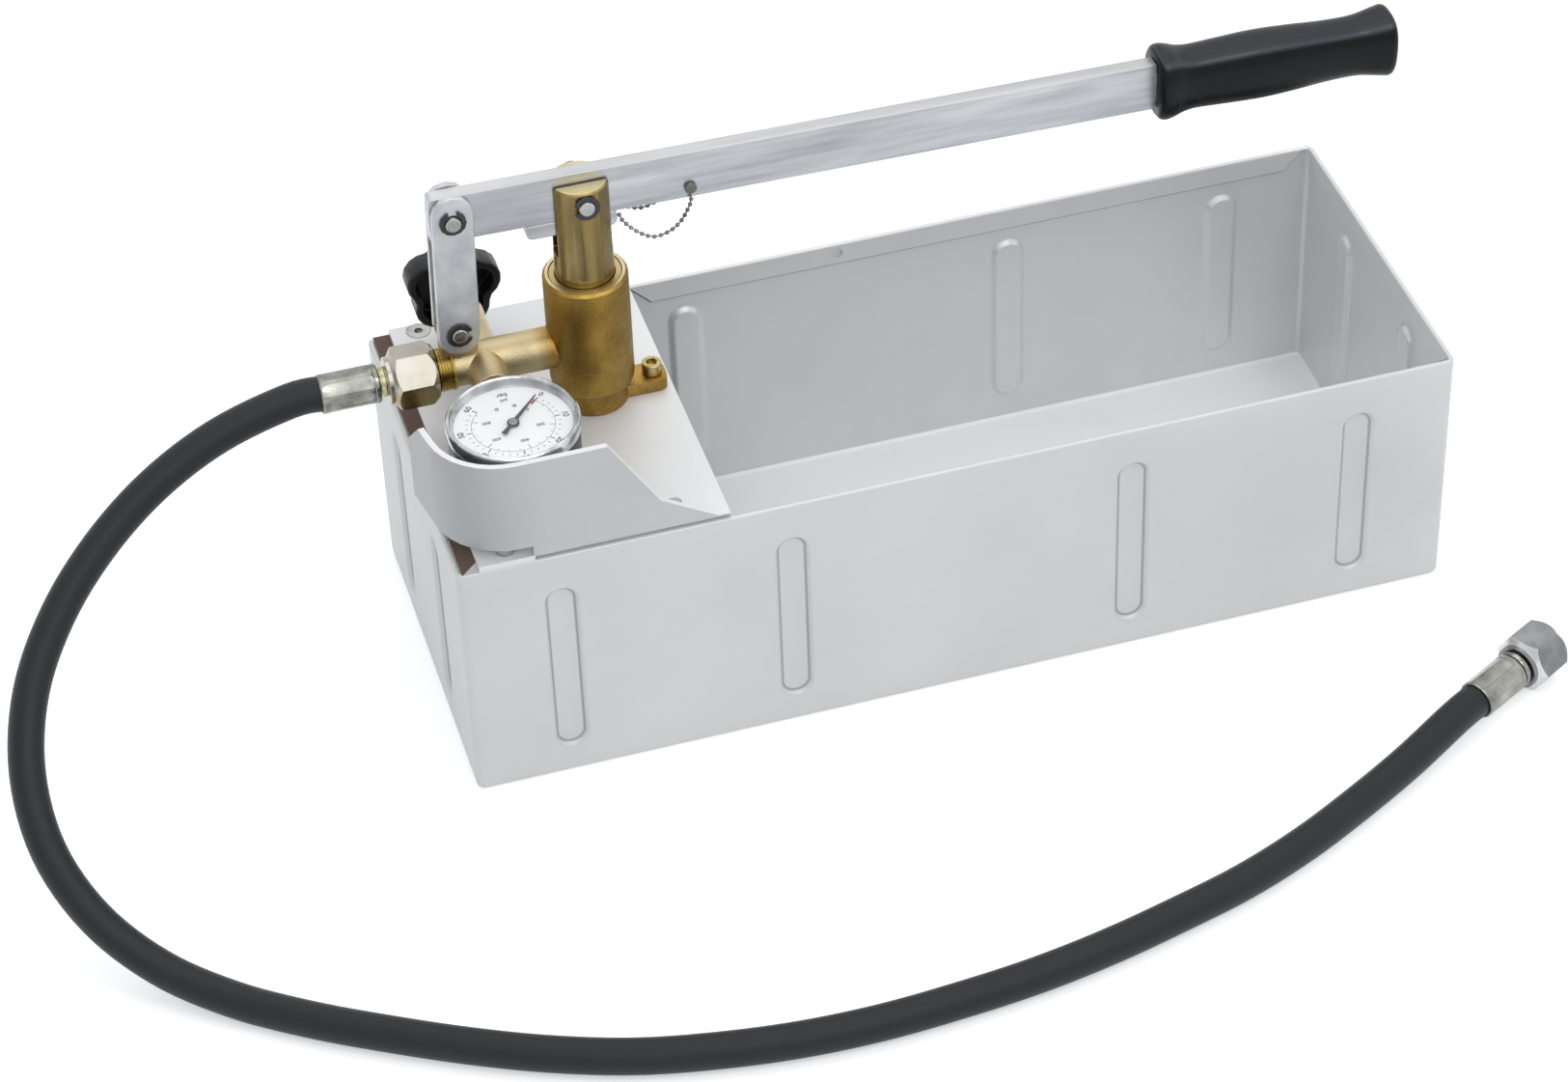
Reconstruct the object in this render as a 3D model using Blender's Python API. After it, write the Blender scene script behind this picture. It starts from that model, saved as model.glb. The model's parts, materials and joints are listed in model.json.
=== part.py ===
"""Hydrostatic test pump: a lever pump on a sheet metal tank, with its hose, gauge and release valve.

Everything is in metres and +Z is up. X runs along the tank, from the pump to the grip, and Y runs
from the front, where the gauge is, to the back. The origin is the middle of the tank's underside.
"""

import math

import bmesh
import bpy
from mathutils import Matrix, Vector

# Fits that every piece shares
GAP = 0.0003  # between two pieces that touch, and round a pin in its hole
OVERRUN = 0.002  # by which a cut starts outside the piece that it cuts
SEAM = 0.0005  # by which two shapes overlap where they are fused
CORNER_STEPS = 3  # chords in a rounded corner

# Tank
TANK_LENGTH = 0.500
TANK_WIDTH = 0.190
TANK_HEIGHT = 0.138
TANK_SHEET = 0.0012
TANK_CORNER = 0.004  # outside radius of the upright corners
TANK_FOLD = 0.004  # outside radius of the fold between wall and floor
RIM_THICKNESS = 0.0026  # of the edge that is folded over inwards
RIM_DEPTH = 0.004
HEM_DEPTH = 0.013  # how far the fold reaches down the inner face
BEAD_WIDTH = 0.0175
BEAD_DEPTH = 0.003
BEAD_LOW = 0.0165  # height of a bead's lower end
BEAD_HIGH = 0.118  # and of its upper end
BEAD_STEPS = 4  # chords in the half circle at a bead's end
BEAD_SIDE_SHARES = (-0.403, -0.176, 0.168, 0.401)  # of the length, along the front and the back
BEAD_END_SHARES = (-0.21, 0.21)  # of the width, across the two short walls
BEAD_SECTION_SHARES = ((1.0, 0.0), (0.82, 0.6), (0.45, 1.0))  # of half the width, of the depth
FLANGE_WIDTH = 0.017  # of the inward flanges that carry the deck

# Deck and guard, bent from one sheet
DECK_SHEET = 0.003
DECK_INSET = 0.011  # from the tank's left face to the deck's edge
DECK_LENGTH = 0.122
DECK_BACK_INSET = 0.001
GUARD_INSET = 0.0002  # the guard's face stands this far behind the tank's front face
GUARD_HEIGHT = 0.0585
GUARD_BEND = 0.004  # outside radius of the bend up from the deck
GUARD_FREE_HEIGHT = 0.009  # of the free lower edge over the tank's rim
GUARD_CUT = 0.0264  # from the deck's left edge to where the bend starts
GUARD_TURN_START = 0.0215  # from the deck's left edge to where the guard starts to turn
GUARD_TURN_RADIUS = 0.035
GUARD_TURN = math.radians(80)
GUARD_TURN_STEPS = 8
GUARD_FLANGE_TOP = 0.012  # straight run past the turn, at the top edge
GUARD_FLANGE_LOW = 0.026  # and at the lower edge
GUARD_FLANGE_DROP = 0.015  # height of the slope between the two
GUARD_SLOPE_START = 0.065  # from the deck's left edge to the first slope's top
GUARD_SLOPE_RUN = 0.0236
GUARD_SLOPE_DROP = 0.0388
GUARD_TAIL_RUN = 0.0277  # the flatter slope after it, down to the deck

# Pump body
PUMP_FROM_END = 0.0945  # from the tank's left face to the barrel's axis
PUMP_FROM_GUARD = 0.1063  # from the guard's face back to the barrel's axis
BARREL_RADIUS = 0.0206
BARREL_HEIGHT = 0.0754
BARREL_CHAMFER = 0.0013
BARREL_ROUND = 0.0035
BARREL_STEPS = 28
FOOT_RADIUS = 0.017
FOOT_HEIGHT = 0.0114
CHAMBER_RADIUS = 0.0158
CHAMBER_FLOOR = 0.009  # over the foot's underside
GLAND_RADIUS = 0.0178
GLAND_DEPTH = 0.012
SPIGOT_RADIUS = 0.0125
SPIGOT_LENGTH = 0.024
VALVE_BORE_RADIUS = 0.0075
VALVE_BORE_DEPTH = 0.022
PASSAGE_RADIUS = 0.0035
EAR_REACH = 0.0295  # from the barrel's axis to the ear's screw
EAR_END = 0.0065  # from the screw's axis to the ear's end
EAR_HALF_WIDTH = 0.0077
EAR_ROUND = 0.0045
EAR_THICKNESS = 0.0065
ARM_HEIGHT = 0.0347  # of its axis over the deck
ARM_RADIUS = 0.0103
ARM_NECK_RADIUS = 0.0097
ARM_BORE_RADIUS = 0.0065
ARM_STEPS = 16
CROSS_REACH = 0.053  # from the barrel's axis to the gauge's and the valve's axis
BOSS_RADIUS = 0.0095
BOSS_REACH = 0.0245  # in front of the arm's axis
BOSS_BORE_RADIUS = 0.0053
BOSS_BORE_DEPTH = 0.011
BRANCH_RADIUS = 0.009
BRANCH_REACH = 0.0335  # behind the arm's axis
THREAD_RADIUS = 0.0102
THREAD_START = 0.069  # from the barrel's axis
THREAD_END = 0.087
LUG_REACH = 0.0641  # from the barrel's axis to the link's lower pin
LUG_HEIGHT = 0.0241  # of that pin over the arm's axis
LUG_RADIUS = 0.009
LUG_THICKNESS = 0.008

# Body nut, gland and valves inside
INNER_STEPS = 12
BODY_NUT_HEIGHT = 0.007
BODY_NUT_RADIUS = 0.020
SEAL_HEIGHT = 0.004
DELIVERY_SEAT = 0.030  # from the barrel's axis to the shoulder behind the delivery seat
SEAT_HEIGHT = 0.005
SEAT_BORE_RADIUS = 0.003
SEAT_BEVEL = 0.001
SUCTION_BALL_RADIUS = 0.0045
DELIVERY_BALL_RADIUS = 0.004
BALL_STEPS = 8
PIPE_BORE_RADIUS = 0.005
PIPE_OVERLAP = 0.004  # of the suction pipe in the spigot
PIPE_FLOOR_GAP = 0.010
STRAINER_RADIUS = 0.0095
STRAINER_HEIGHT = 0.014
STRAINER_FLOOR = 0.0015
STRAINER_FLOOR_GAP = 0.003  # from the tank's underside
STRAINER_SLOT = 0.002
STRAINER_SLOTS = 8
SPRING_WIRE_RADIUS = 0.0005
SPRING_RADIUS = 0.0035
SPRING_LENGTH = 0.018
SPRING_TURNS = 5
SPRING_POINTS = 6  # in each turn
GUIDE_LENGTH = 0.004

# Plunger
PLUNGER_RADIUS = 0.0143
PIN_LIFT = 0.047  # of the plunger pin over the barrel's top
PLUNGER_CROWN = 0.0075  # over the pin
PLUNGER_CHAMFER = 0.0008
PLUNGER_REACH = 0.099  # under the pin
SLOT_WIDTH = 0.010
SLOT_DEPTH = 0.033  # under the pin
PIN_RADIUS = 0.004
PIN_STEPS = 12
RING_RADIUS = 0.0065
RING_THICKNESS = 0.001
RING_MOUTH = 0.004
PIN_END = 0.0018  # how far a pin stands out past the face that it passes

# Lever
LEVER_TILT = math.radians(0.95)  # down towards the grip
LEVER_HEIGHT = 0.025
LEVER_THICKNESS = 0.008
LEVER_TAIL = 0.0726  # from the plunger pin to the rear end
LEVER_CORNER = 0.002
LINK_ARM = 0.0623  # from the plunger pin back to the link's upper pin
SLIP_BACK = 0.0035  # travel of the link's upper pin in the lever's opening
SLIP_FORWARD = 0.0012
SLIP_DOWN = 0.0017
SLIP_UP = 0.0030
TANG_HEIGHT = 0.016
TANG_LENGTH = 0.095
GRIP_START = 0.2854  # from the plunger pin
GRIP_END = 0.0276  # of the grip past the tang's end
GRIP_HEIGHT = 0.0368
GRIP_OVAL_SHARE = 0.8  # of the height, across
GRIP_SEGMENTS = 14
GRIP_PROFILE_SHARES = (  # of the length, of half the height
    (0.0, 0.80), (0.012, 0.95), (0.035, 1.0), (0.065, 0.96), (0.105, 0.83), (0.16, 0.79),
    (0.28, 0.85), (0.43, 0.905), (0.58, 0.87), (0.72, 0.825), (0.84, 0.85), (0.93, 0.945),
    (0.97, 0.91), (0.99, 0.75), (1.0, 0.45),
)
STUD_REACH = 0.0527  # from the plunger pin to the stud that the chain hangs from
STUD_DROP = 0.0067  # under the lever's centreline
STUD_RADIUS = 0.0017
STUD_HEAD_RADIUS = 0.003
STUD_HEAD = 0.0016

# Link
LINK_WIDTH = 0.020
LINK_SHEET = 0.003
LINK_LOW_MARGIN = 0.0114
LINK_TOP_MARGIN = 0.014
LINK_ROUND = 0.0095

# Lock bar and chain
BAR_BACK = 0.027  # from the plunger pin to the bar's rear end
BAR_LENGTH = 0.0439
BAR_HEIGHT = 0.0078
BAR_ROUND = 0.0028
CHAIN_BALL_RADIUS = 0.0012
CHAIN_NECK_RADIUS = 0.0005
CHAIN_PITCH = 0.0032
CHAIN_SIDES = 5
CHAIN_SAG = 0.0183  # under the straight line between its two ends
CHAIN_SHAPE_SHARES = (  # of the run between the ends, of the sag
    (0.0, 0.0), (0.012, 0.204), (0.07, 0.433), (0.16, 0.697), (0.294, 0.887), (0.461, 0.976),
    (0.574, 0.949), (0.706, 0.812), (0.848, 0.563), (0.953, 0.26), (1.0, 0.0),
)

# Gauge, face up
GAUGE_REACH = 0.0631  # from the arm's axis to the gauge's centre
GAUGE_RADIUS = 0.0320
GAUGE_CASE_RADIUS = 0.0312
GAUGE_LOW = 0.014  # of the case's back under the stem's axis
GAUGE_BEZEL_LOW = 0.008  # of the bezel's lower edge over the stem's axis
GAUGE_BEZEL_HIGH = 0.0145
GAUGE_LIP_RADIUS = 0.0298
GAUGE_WALL = 0.0012
GAUGE_STEPS = 32
DIAL_HEIGHT = 0.0088  # over the stem's axis
DIAL_SHEET = 0.0008
DIAL_RADIUS = 0.0294
NEEDLE_LIFT = 0.0012  # over the dial
NEEDLE_SHEET = 0.0005
NEEDLE_TIP = 0.0227
NEEDLE_TAIL = 0.009
NEEDLE_WIDTH = 0.003
NEEDLE_HUB_RADIUS = 0.003
NEEDLE_REST = math.radians(48)
SPINDLE_PEG_RADIUS = 0.0008
SPINDLE_BORE_RADIUS = 0.0012
LENS_SHEET = 0.0018
STEM_RADIUS = 0.008
STEM_THREAD_RADIUS = 0.005
STEM_THREAD_LENGTH = 0.0095

# Release valve
BONNET_RADIUS = 0.0098
BONNET_HEIGHT = 0.010
PACKING_RADIUS = 0.0075
PACKING_HEIGHT = 0.0065
SPINDLE_RADIUS = 0.003
SPINDLE_BACK = 0.0045  # from the arm's axis to the spindle's tip
KNOB_REACH = 0.0575  # from the arm's axis to the knob's front edge
KNOB_THICKNESS = 0.015
KNOB_RADIUS = 0.0242
KNOB_LOBES = 5
KNOB_NOTCH = 0.0052
KNOB_POINTS = 35
KNOB_FIRST_LOBE = math.radians(11)
KNOB_ROUND = 0.003
KNOB_HOLLOW = 0.009
KNOB_WALL = 0.004
KNOB_HUB_RADIUS = 0.0075
KNOB_NUT_RADIUS = 0.0055
KNOB_NUT_HEIGHT = 0.003

# Hose and its fittings
NUT_LENGTH = 0.0238
NUT_RADIUS = 0.0156
NUT_LIP = 0.003
NUT_FROM_AXIS = 0.0765  # from the barrel's axis to the union nut's near face
WASHER_HEIGHT = 0.0015
NIPPLE_RADIUS = 0.007
NIPPLE_FLANGE = 0.003
NIPPLE_FLANGE_RADIUS = 0.0098
NIPPLE_BORE_RADIUS = 0.004
NIPPLE_NECK = 0.004  # of the nipple that shows between nut and ferrule
FERRULE_RADIUS = 0.0098
FERRULE_LENGTH = 0.0285
FERRULE_ROUND = 0.0012
FERRULE_SOCKET = 0.004
HOSE_RADIUS = 0.0086
HOSE_POINT_EVERY = 0.038
HOSE_STRAIGHT = 0.018  # of the hose's run at each fitting
HOSE_SAMPLES = 12  # trial points in each stretch of the route, for measuring along it
FREE_END = (0.2235, -0.2012)  # where the hose enters the free ferrule
FREE_HEADING = math.radians(28.8)
HOSE_ROUTE = (
    (-0.335, 0.0066, 0.170), (-0.366, -0.0025, 0.160),
    (-0.394, -0.0150, 0.146), (-0.418, -0.0305, 0.131), (-0.438, -0.0490, 0.1135),
    (-0.453, -0.0713, 0.0945), (-0.460, -0.0963, 0.0742), (-0.4585, -0.1224, 0.0543),
    (-0.4476, -0.1477, 0.0364), (-0.4293, -0.1705, 0.0217), (-0.4055, -0.1898, 0.0115),
    (-0.376, -0.2136, 0.0088), (-0.3295, -0.2438, 0.0088), (-0.282, -0.2700, 0.0088),
    (-0.2338, -0.2906, 0.0088), (-0.1828, -0.3027, 0.0088), (-0.1301, -0.3083, 0.0088),
    (-0.076, -0.3067, 0.0088), (-0.0213, -0.3005, 0.0088), (0.0353, -0.2877, 0.0088),
    (0.0931, -0.2698, 0.0088), (0.152, -0.2410, 0.0090), (0.1835, -0.2238, 0.0108),
)

# Screws
EAR_SCREW = {"head_radius": 0.005, "head": 0.006, "shank_radius": 0.003, "shank": 0.012, "socket": 0.0029}
DECK_SCREW = {"head_radius": 0.0062, "head": 0.003, "shank_radius": 0.003, "shank": 0.009, "socket": 0.0023}
SMALL_SCREW = {
    "head_radius": 0.0036, "head": 0.0018, "shank_radius": 0.0017, "shank": 0.008, "socket": 0.0012,
}
TAB_SCREW = {"head_radius": 0.0048, "head": 0.004, "shank_radius": 0.003, "shank": 0.010, "socket": 0.0025}
SOCKET_DEPTH_SHARE = 0.6  # of the head's height
SCREW_STEPS = 12
DECK_SCREW_INSET = (0.014, 0.0054)  # from the deck's left edge and its back edge
BACK_SCREW_SPACING = 0.094
SMALL_SCREW_INSET = (0.0235, 0.0163)  # from the deck's right edge and the guard's face
TAB_SCREW_INSET = (0.0145, 0.0082)  # from the deck's left edge and the guard's face

# Places that follow from the sizes above
LEFT = -TANK_LENGTH / 2
FRONT = -TANK_WIDTH / 2
DECK_BOTTOM = TANK_HEIGHT + GAP
DECK_TOP = DECK_BOTTOM + DECK_SHEET
DECK_LEFT = LEFT + DECK_INSET
DECK_RIGHT = DECK_LEFT + DECK_LENGTH
DECK_BACK = -FRONT - DECK_BACK_INSET
GUARD_FACE = FRONT + GUARD_INSET
PUMP_X = LEFT + PUMP_FROM_END
PUMP_OFFSET = GUARD_FACE + PUMP_FROM_GUARD
FOOT_BOTTOM = DECK_TOP + GAP
BARREL_TOP = FOOT_BOTTOM + BARREL_HEIGHT
ARM_Z = DECK_TOP + ARM_HEIGHT
CROSS_X = PUMP_X - CROSS_REACH
LUG_PIN = Vector((PUMP_X - LUG_REACH, PUMP_OFFSET, ARM_Z + LUG_HEIGHT))
PLUNGER_PIN = Vector((PUMP_X, PUMP_OFFSET, BARREL_TOP + PIN_LIFT))
LEVER_ALONG = Vector((math.cos(LEVER_TILT), 0, -math.sin(LEVER_TILT)))
LINK_PIN = PLUNGER_PIN - LINK_ARM * LEVER_ALONG
LINK_LENGTH = (LINK_PIN - LUG_PIN).length
LINK_LEAN = math.atan2(LINK_PIN.x - LUG_PIN.x, LINK_PIN.z - LUG_PIN.z)
GAUGE_Y = PUMP_OFFSET - GAUGE_REACH
BOSS_FACE = PUMP_OFFSET - BOSS_REACH
BRANCH_FACE = PUMP_OFFSET + BRANCH_REACH
GRIP_LENGTH = TANG_LENGTH + GRIP_END
SCREW_HOLE = DECK_SCREW["shank_radius"] + GAP
TO_LEFT = (0, -math.pi / 2, 0)
TO_BACK = (-math.pi / 2, 0, 0)
TO_FRONT = (math.pi / 2, 0, 0)

MATERIALS = {}


def material(name, colour, roughness, metallic):
    """A material that each object of one substance and finish copies under its own name."""
    MATERIALS[name] = (colour, roughness, metallic)


material("stainless", (0.52, 0.52, 0.51), 0.35, 1.0)
material("painted", (0.60, 0.60, 0.58), 0.45, 0.2)
material("brass", (0.47, 0.37, 0.15), 0.38, 1.0)
material("zinc", (0.55, 0.56, 0.55), 0.35, 1.0)
material("yellow_zinc", (0.50, 0.43, 0.24), 0.35, 1.0)
material("black_steel", (0.03, 0.03, 0.03), 0.4, 0.6)
material("rubber", (0.02, 0.02, 0.021), 0.6, 0.0)
material("black_plastic", (0.015, 0.015, 0.016), 0.45, 0.0)
material("white", (0.80, 0.80, 0.78), 0.5, 0.0)
material("glass", (0.90, 0.92, 0.92), 0.05, 0.0)


def painted(obj, name):
    """Gives the object its own material, with the values of the named finish."""
    colour, roughness, metallic = MATERIALS[name]
    finish = bpy.data.materials.new(obj.name)
    finish.use_nodes = True
    shader = finish.node_tree.nodes["Principled BSDF"]
    shader.inputs["Base Color"].default_value = (*colour, 1)
    shader.inputs["Roughness"].default_value = roughness
    shader.inputs["Metallic"].default_value = metallic
    finish.diffuse_color = (*colour, 1)
    obj.data.materials.append(finish)


def placed(name, data, place=(0, 0, 0), turn=(0, 0, 0), parent=None):
    obj = bpy.data.objects.new(name, data)
    obj.location = place
    obj.rotation_euler = turn
    obj.parent = parent
    bpy.context.scene.collection.objects.link(obj)
    return obj


def piece(name, shape, finish, place=(0, 0, 0), turn=(0, 0, 0), parent=None):
    """A visible piece: the shape becomes its mesh."""
    obj = placed(name, solid(name, shape), place, turn, parent)
    painted(obj, finish)
    return obj


def solid(name, shape):
    """Turns a bmesh into a smooth-shaded mesh with its faces pointing out."""
    bmesh.ops.recalc_face_normals(shape, faces=shape.faces)
    mesh = bpy.data.meshes.new(name)
    shape.to_mesh(mesh)
    shape.free()
    mesh.shade_smooth()
    mesh.set_sharp_from_angle(angle=math.radians(35))
    return mesh


def combine(target, name, shape, operation, place=(0, 0, 0), turn=(0, 0, 0)):
    """Adds the shape to the target or cuts it out. It is placed in the target's parent's space."""
    tool = placed(f"{target.name}_{name}", solid(name, shape), place, turn, target.parent)
    tool.hide_render = True
    tool.display_type = "WIRE"
    modifier = target.modifiers.new(name, "BOOLEAN")
    modifier.operation = operation
    modifier.object = tool


def fuse(target, name, shape, place=(0, 0, 0), turn=(0, 0, 0)):
    combine(target, name, shape, "UNION", place, turn)


def cut(target, name, shape, place=(0, 0, 0), turn=(0, 0, 0)):
    combine(target, name, shape, "DIFFERENCE", place, turn)


def trim(target, name, shape, place=(0, 0, 0), turn=(0, 0, 0)):
    combine(target, name, shape, "INTERSECT", place, turn)


def empty(name, place, turn=(0, 0, 0), parent=None):
    return placed(name, None, place, turn, parent)


def bridge(shape, rings):
    """Skins rings of equal length, one after another."""
    for low, high in zip(rings, rings[1:]):
        for i in range(len(low)):
            j = (i + 1) % len(low)
            shape.faces.new((low[i], low[j], high[j], high[i]))


def loft(loops, shape=None):
    """A closed solid through loops of points, with a flat cap on the first and the last."""
    shape = shape or bmesh.new()
    rings = [[shape.verts.new(point) for point in loop] for loop in loops]
    bridge(shape, rings)
    shape.faces.new(rings[0])
    shape.faces.new(rings[-1])
    return shape


def lathe(profile, steps, step_share=0.0):
    """Turns (radius, height) points about Z. A profile that leaves the axis open is closed on itself.

    A flat end is one face. The first point of each ring is turned from X by a share of a step, so
    that the edges of two crossing cylinders don't meet in one point.
    """
    shape = bmesh.new()
    points = list(profile)
    hollow = points[0][0] > 0 and points[-1][0] > 0
    flat_low = points[0][0] == 0 and points[0][1] == points[1][1]
    flat_high = points[-1][0] == 0 and points[-1][1] == points[-2][1]
    points = points[flat_low : len(points) - flat_high]
    angles = [2 * math.pi * (i + step_share) / steps for i in range(steps)]
    rings = []
    for radius, height in points:
        if radius == 0:
            rings.append([shape.verts.new((0, 0, height))])
            continue
        rings.append(
            [shape.verts.new((radius * math.cos(turn), radius * math.sin(turn), height)) for turn in angles]
        )
    if hollow:
        rings.append(rings[0])
    for low, high in zip(rings, rings[1:]):
        for i in range(steps):
            j = (i + 1) % steps
            corners = [low[i % len(low)], low[j % len(low)], high[j % len(high)], high[i % len(high)]]
            shape.faces.new(list(dict.fromkeys(corners)))
    if flat_low:
        shape.faces.new(rings[0])
    if flat_high:
        shape.faces.new(rings[-1])
    return shape


def disc(radius, low, high, steps, chamfer=0.0, step_share=0.0):
    """A plain or chamfered cylinder about Z, between two heights."""
    if not chamfer:
        return lathe(((0, low), (radius, low), (radius, high), (0, high)), steps, step_share)
    inner = radius - chamfer
    return lathe(
        ((0, low), (inner, low), (radius, low + chamfer), (radius, high - chamfer), (inner, high), (0, high)),
        steps,
        step_share,
    )


def tube(outer, inner, low, high, steps):
    return lathe(((outer, low), (outer, high), (inner, high), (inner, low)), steps)


def block(low, high):
    """A box between two opposite corners."""
    shape = bmesh.new()
    bmesh.ops.create_cube(shape, size=1)
    middle = (Vector(low) + Vector(high)) / 2
    size = Vector(high) - Vector(low)
    bmesh.ops.transform(shape, matrix=Matrix.LocRotScale(middle, None, size), verts=shape.verts)
    return shape


def arc(centre, radius, start, end, steps):
    """Points on a circle, from one angle to another, both included."""
    return [
        (
            centre[0] + radius * math.cos(start + (end - start) * i / steps),
            centre[1] + radius * math.sin(start + (end - start) * i / steps),
        )
        for i in range(steps + 1)
    ]


def rounded(corners, steps=CORNER_STEPS):
    """An outline whose corners, given as (x, y, radius), are arcs where the radius isn't 0."""
    outline = []
    for i, (x, y, radius) in enumerate(corners):
        here = Vector((x, y))
        if not radius:
            outline.append(here)
            continue
        back = (Vector(corners[i - 1][:2]) - here).normalized()
        ahead = (Vector(corners[(i + 1) % len(corners)][:2]) - here).normalized()
        half = back.angle(ahead) / 2
        centre = here + (back + ahead).normalized() * (radius / math.sin(half))
        run = radius / math.tan(half)
        first = here + back * run - centre
        last = here + ahead * run - centre
        start = math.atan2(first.y, first.x)
        sweep = (math.atan2(last.y, last.x) - start + math.pi) % (2 * math.pi) - math.pi
        outline += [Vector(point) for point in arc(centre, radius, start, start + sweep, steps)]
    return outline


def slab(outline, low, high):
    """An outline in X and Y, between two heights."""
    return loft([[(x, y, height) for x, y in outline] for height in (low, high)])


def plate(outline, thickness):
    """An outline in X and Z, with its thickness centred on Y = 0."""
    return loft([[(x, y, z) for x, z in outline] for y in (-thickness / 2, thickness / 2)])


def rounded_box(half_length, half_width, radius):
    """Outline of a rectangle round the origin, with its corners rounded."""
    return rounded(
        [
            (half_length, half_width, radius),
            (-half_length, half_width, radius),
            (-half_length, -half_width, radius),
            (half_length, -half_width, radius),
        ]
    )


def hexagon(radius, low, high):
    """A hexagonal prism about Z, with a flat towards +Y; the radius is to its corners."""
    turn = math.pi / 3
    outline = [(radius * math.cos(i * turn), radius * math.sin(i * turn)) for i in range(6)]
    return slab(outline, low, high)


def chamfered_hexagon(obj, radius, low, high):
    """Trims a hexagon's corners at both ends, as on a turned nut."""
    chamfer = radius * (1 - math.cos(math.pi / 6))
    profile = (
        (0, low),
        (radius - chamfer, low),
        (radius, low + chamfer / 2),
        (radius, high - chamfer / 2),
        (radius - chamfer, high),
        (0, high),
    )
    trim(obj, "chamfer", lathe(profile, ARM_STEPS), obj.location, obj.rotation_euler)


def clear_scene():
    for obj in list(bpy.data.objects):
        bpy.data.objects.remove(obj)


def tank_loop(inset, height):
    radius = max(TANK_CORNER - inset, TANK_SHEET)
    outline = rounded_box(TANK_LENGTH / 2 - inset, TANK_WIDTH / 2 - inset, radius)
    return [(x, y, height) for x, y in outline]


def bead(shape, middle, along, inward, grow):
    """One bead's stadium, stepped inwards. Grown by the sheet, it is the bead's inner face."""
    straight = (BEAD_HIGH - BEAD_LOW - BEAD_WIDTH) / 2
    centre = (BEAD_HIGH + BEAD_LOW) / 2
    loops = []
    start = -OVERRUN if grow == 0 else grow / 2
    steps = [(1.0, start)] + [(w, d * BEAD_DEPTH + grow) for w, d in BEAD_SECTION_SHARES[1:]]
    if grow == 0:
        steps.insert(1, (1.0, 0.0))
    for width_share, depth in steps:
        radius = width_share * BEAD_WIDTH / 2 + grow
        upper = arc((0, centre + straight), radius, 0, math.pi, BEAD_STEPS)
        lower = arc((0, centre - straight), radius, math.pi, 2 * math.pi, BEAD_STEPS)
        loops.append([middle + along * u + inward * depth + Vector((0, 0, z)) for u, z in upper + lower])
    loft(loops, shape)


def bead_places():
    for share in BEAD_SIDE_SHARES:
        for side in (-1, 1):
            middle = Vector((share * TANK_LENGTH, side * TANK_WIDTH / 2, 0))
            yield middle, Vector((1, 0, 0)), Vector((0, -side, 0))
    for share in BEAD_END_SHARES:
        for side in (-1, 1):
            middle = Vector((side * TANK_LENGTH / 2, share * TANK_WIDTH, 0))
            yield middle, Vector((0, 1, 0)), Vector((-side, 0, 0))


def beads(grow):
    shape = bmesh.new()
    for middle, along, inward in bead_places():
        bead(shape, middle, along, inward, grow)
    return shape


def hem(shape, start, end, along, inward):
    """The band folded down inside one wall, with its ends mitred."""
    top = TANK_HEIGHT - RIM_THICKNESS / 2
    low = TANK_HEIGHT - HEM_DEPTH
    mitre = top - low
    loops = []
    for depth in (TANK_SHEET / 2, RIM_THICKNESS):
        base = inward * depth
        loops.append(
            [
                start + base + Vector((0, 0, top)),
                end + base + Vector((0, 0, top)),
                end + base - along * mitre + Vector((0, 0, low)),
                start + base + along * mitre + Vector((0, 0, low)),
            ]
        )
    loft(loops, shape)


def hems():
    shape = bmesh.new()
    corner = TANK_CORNER
    x_end = TANK_LENGTH / 2 - corner
    y_end = TANK_WIDTH / 2 - corner
    for side in (-1, 1):
        wall = side * TANK_WIDTH / 2
        ends = Vector((DECK_RIGHT, wall, 0)), Vector((x_end, wall, 0))
        hem(shape, *ends, Vector((1, 0, 0)), Vector((0, -side, 0)))
        wall = side * TANK_LENGTH / 2
        ends = Vector((wall, -y_end, 0)), Vector((wall, y_end, 0))
        hem(shape, *ends, Vector((0, 1, 0)), Vector((-side, 0, 0)))
    return shape


def flange_outline(side):
    """One of the two flanges under the deck, its left end mitred."""
    wall = side * (TANK_WIDTH / 2 - TANK_SHEET / 2)
    edge = side * (TANK_WIDTH / 2 - FLANGE_WIDTH)
    left = LEFT + RIM_THICKNESS + GAP
    return [(left, wall), (DECK_RIGHT, wall), (DECK_RIGHT, edge), (left + FLANGE_WIDTH, edge)]


def make_tank():
    fold = TANK_FOLD
    rim = RIM_THICKNESS / 2
    inner = fold - TANK_SHEET
    section = [(fold + x, fold + z) for x, z in arc((0, 0), fold, -math.pi / 2, -math.pi, 3)]
    section += [(rim + x, TANK_HEIGHT - rim + z) for x, z in arc((0, 0), rim, math.pi, 0, 4)]
    section += [(RIM_THICKNESS, TANK_HEIGHT - RIM_DEPTH), (TANK_SHEET, TANK_HEIGHT - RIM_DEPTH - rim)]
    section += [(fold + x, fold + z) for x, z in arc((0, 0), inner, math.pi, 3 * math.pi / 2, 3)]
    tank = piece("tank", loft([tank_loop(inset, height) for inset, height in section]), "stainless")
    fuse(tank, "hems", hems())
    for name, side in (("front_flange", -1), ("back_flange", 1)):
        fuse(tank, name, slab(flange_outline(side), TANK_HEIGHT - TANK_SHEET, TANK_HEIGHT))
    fuse(tank, "bead_faces", beads(TANK_SHEET))
    cut(tank, "bead_hollows", beads(0))
    for name, x, y in deck_screw_places():
        hole = disc(SCREW_HOLE, -OVERRUN - TANK_SHEET, OVERRUN, SCREW_STEPS)
        cut(tank, f"hole_{name}", hole, (x, y, TANK_HEIGHT))


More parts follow.
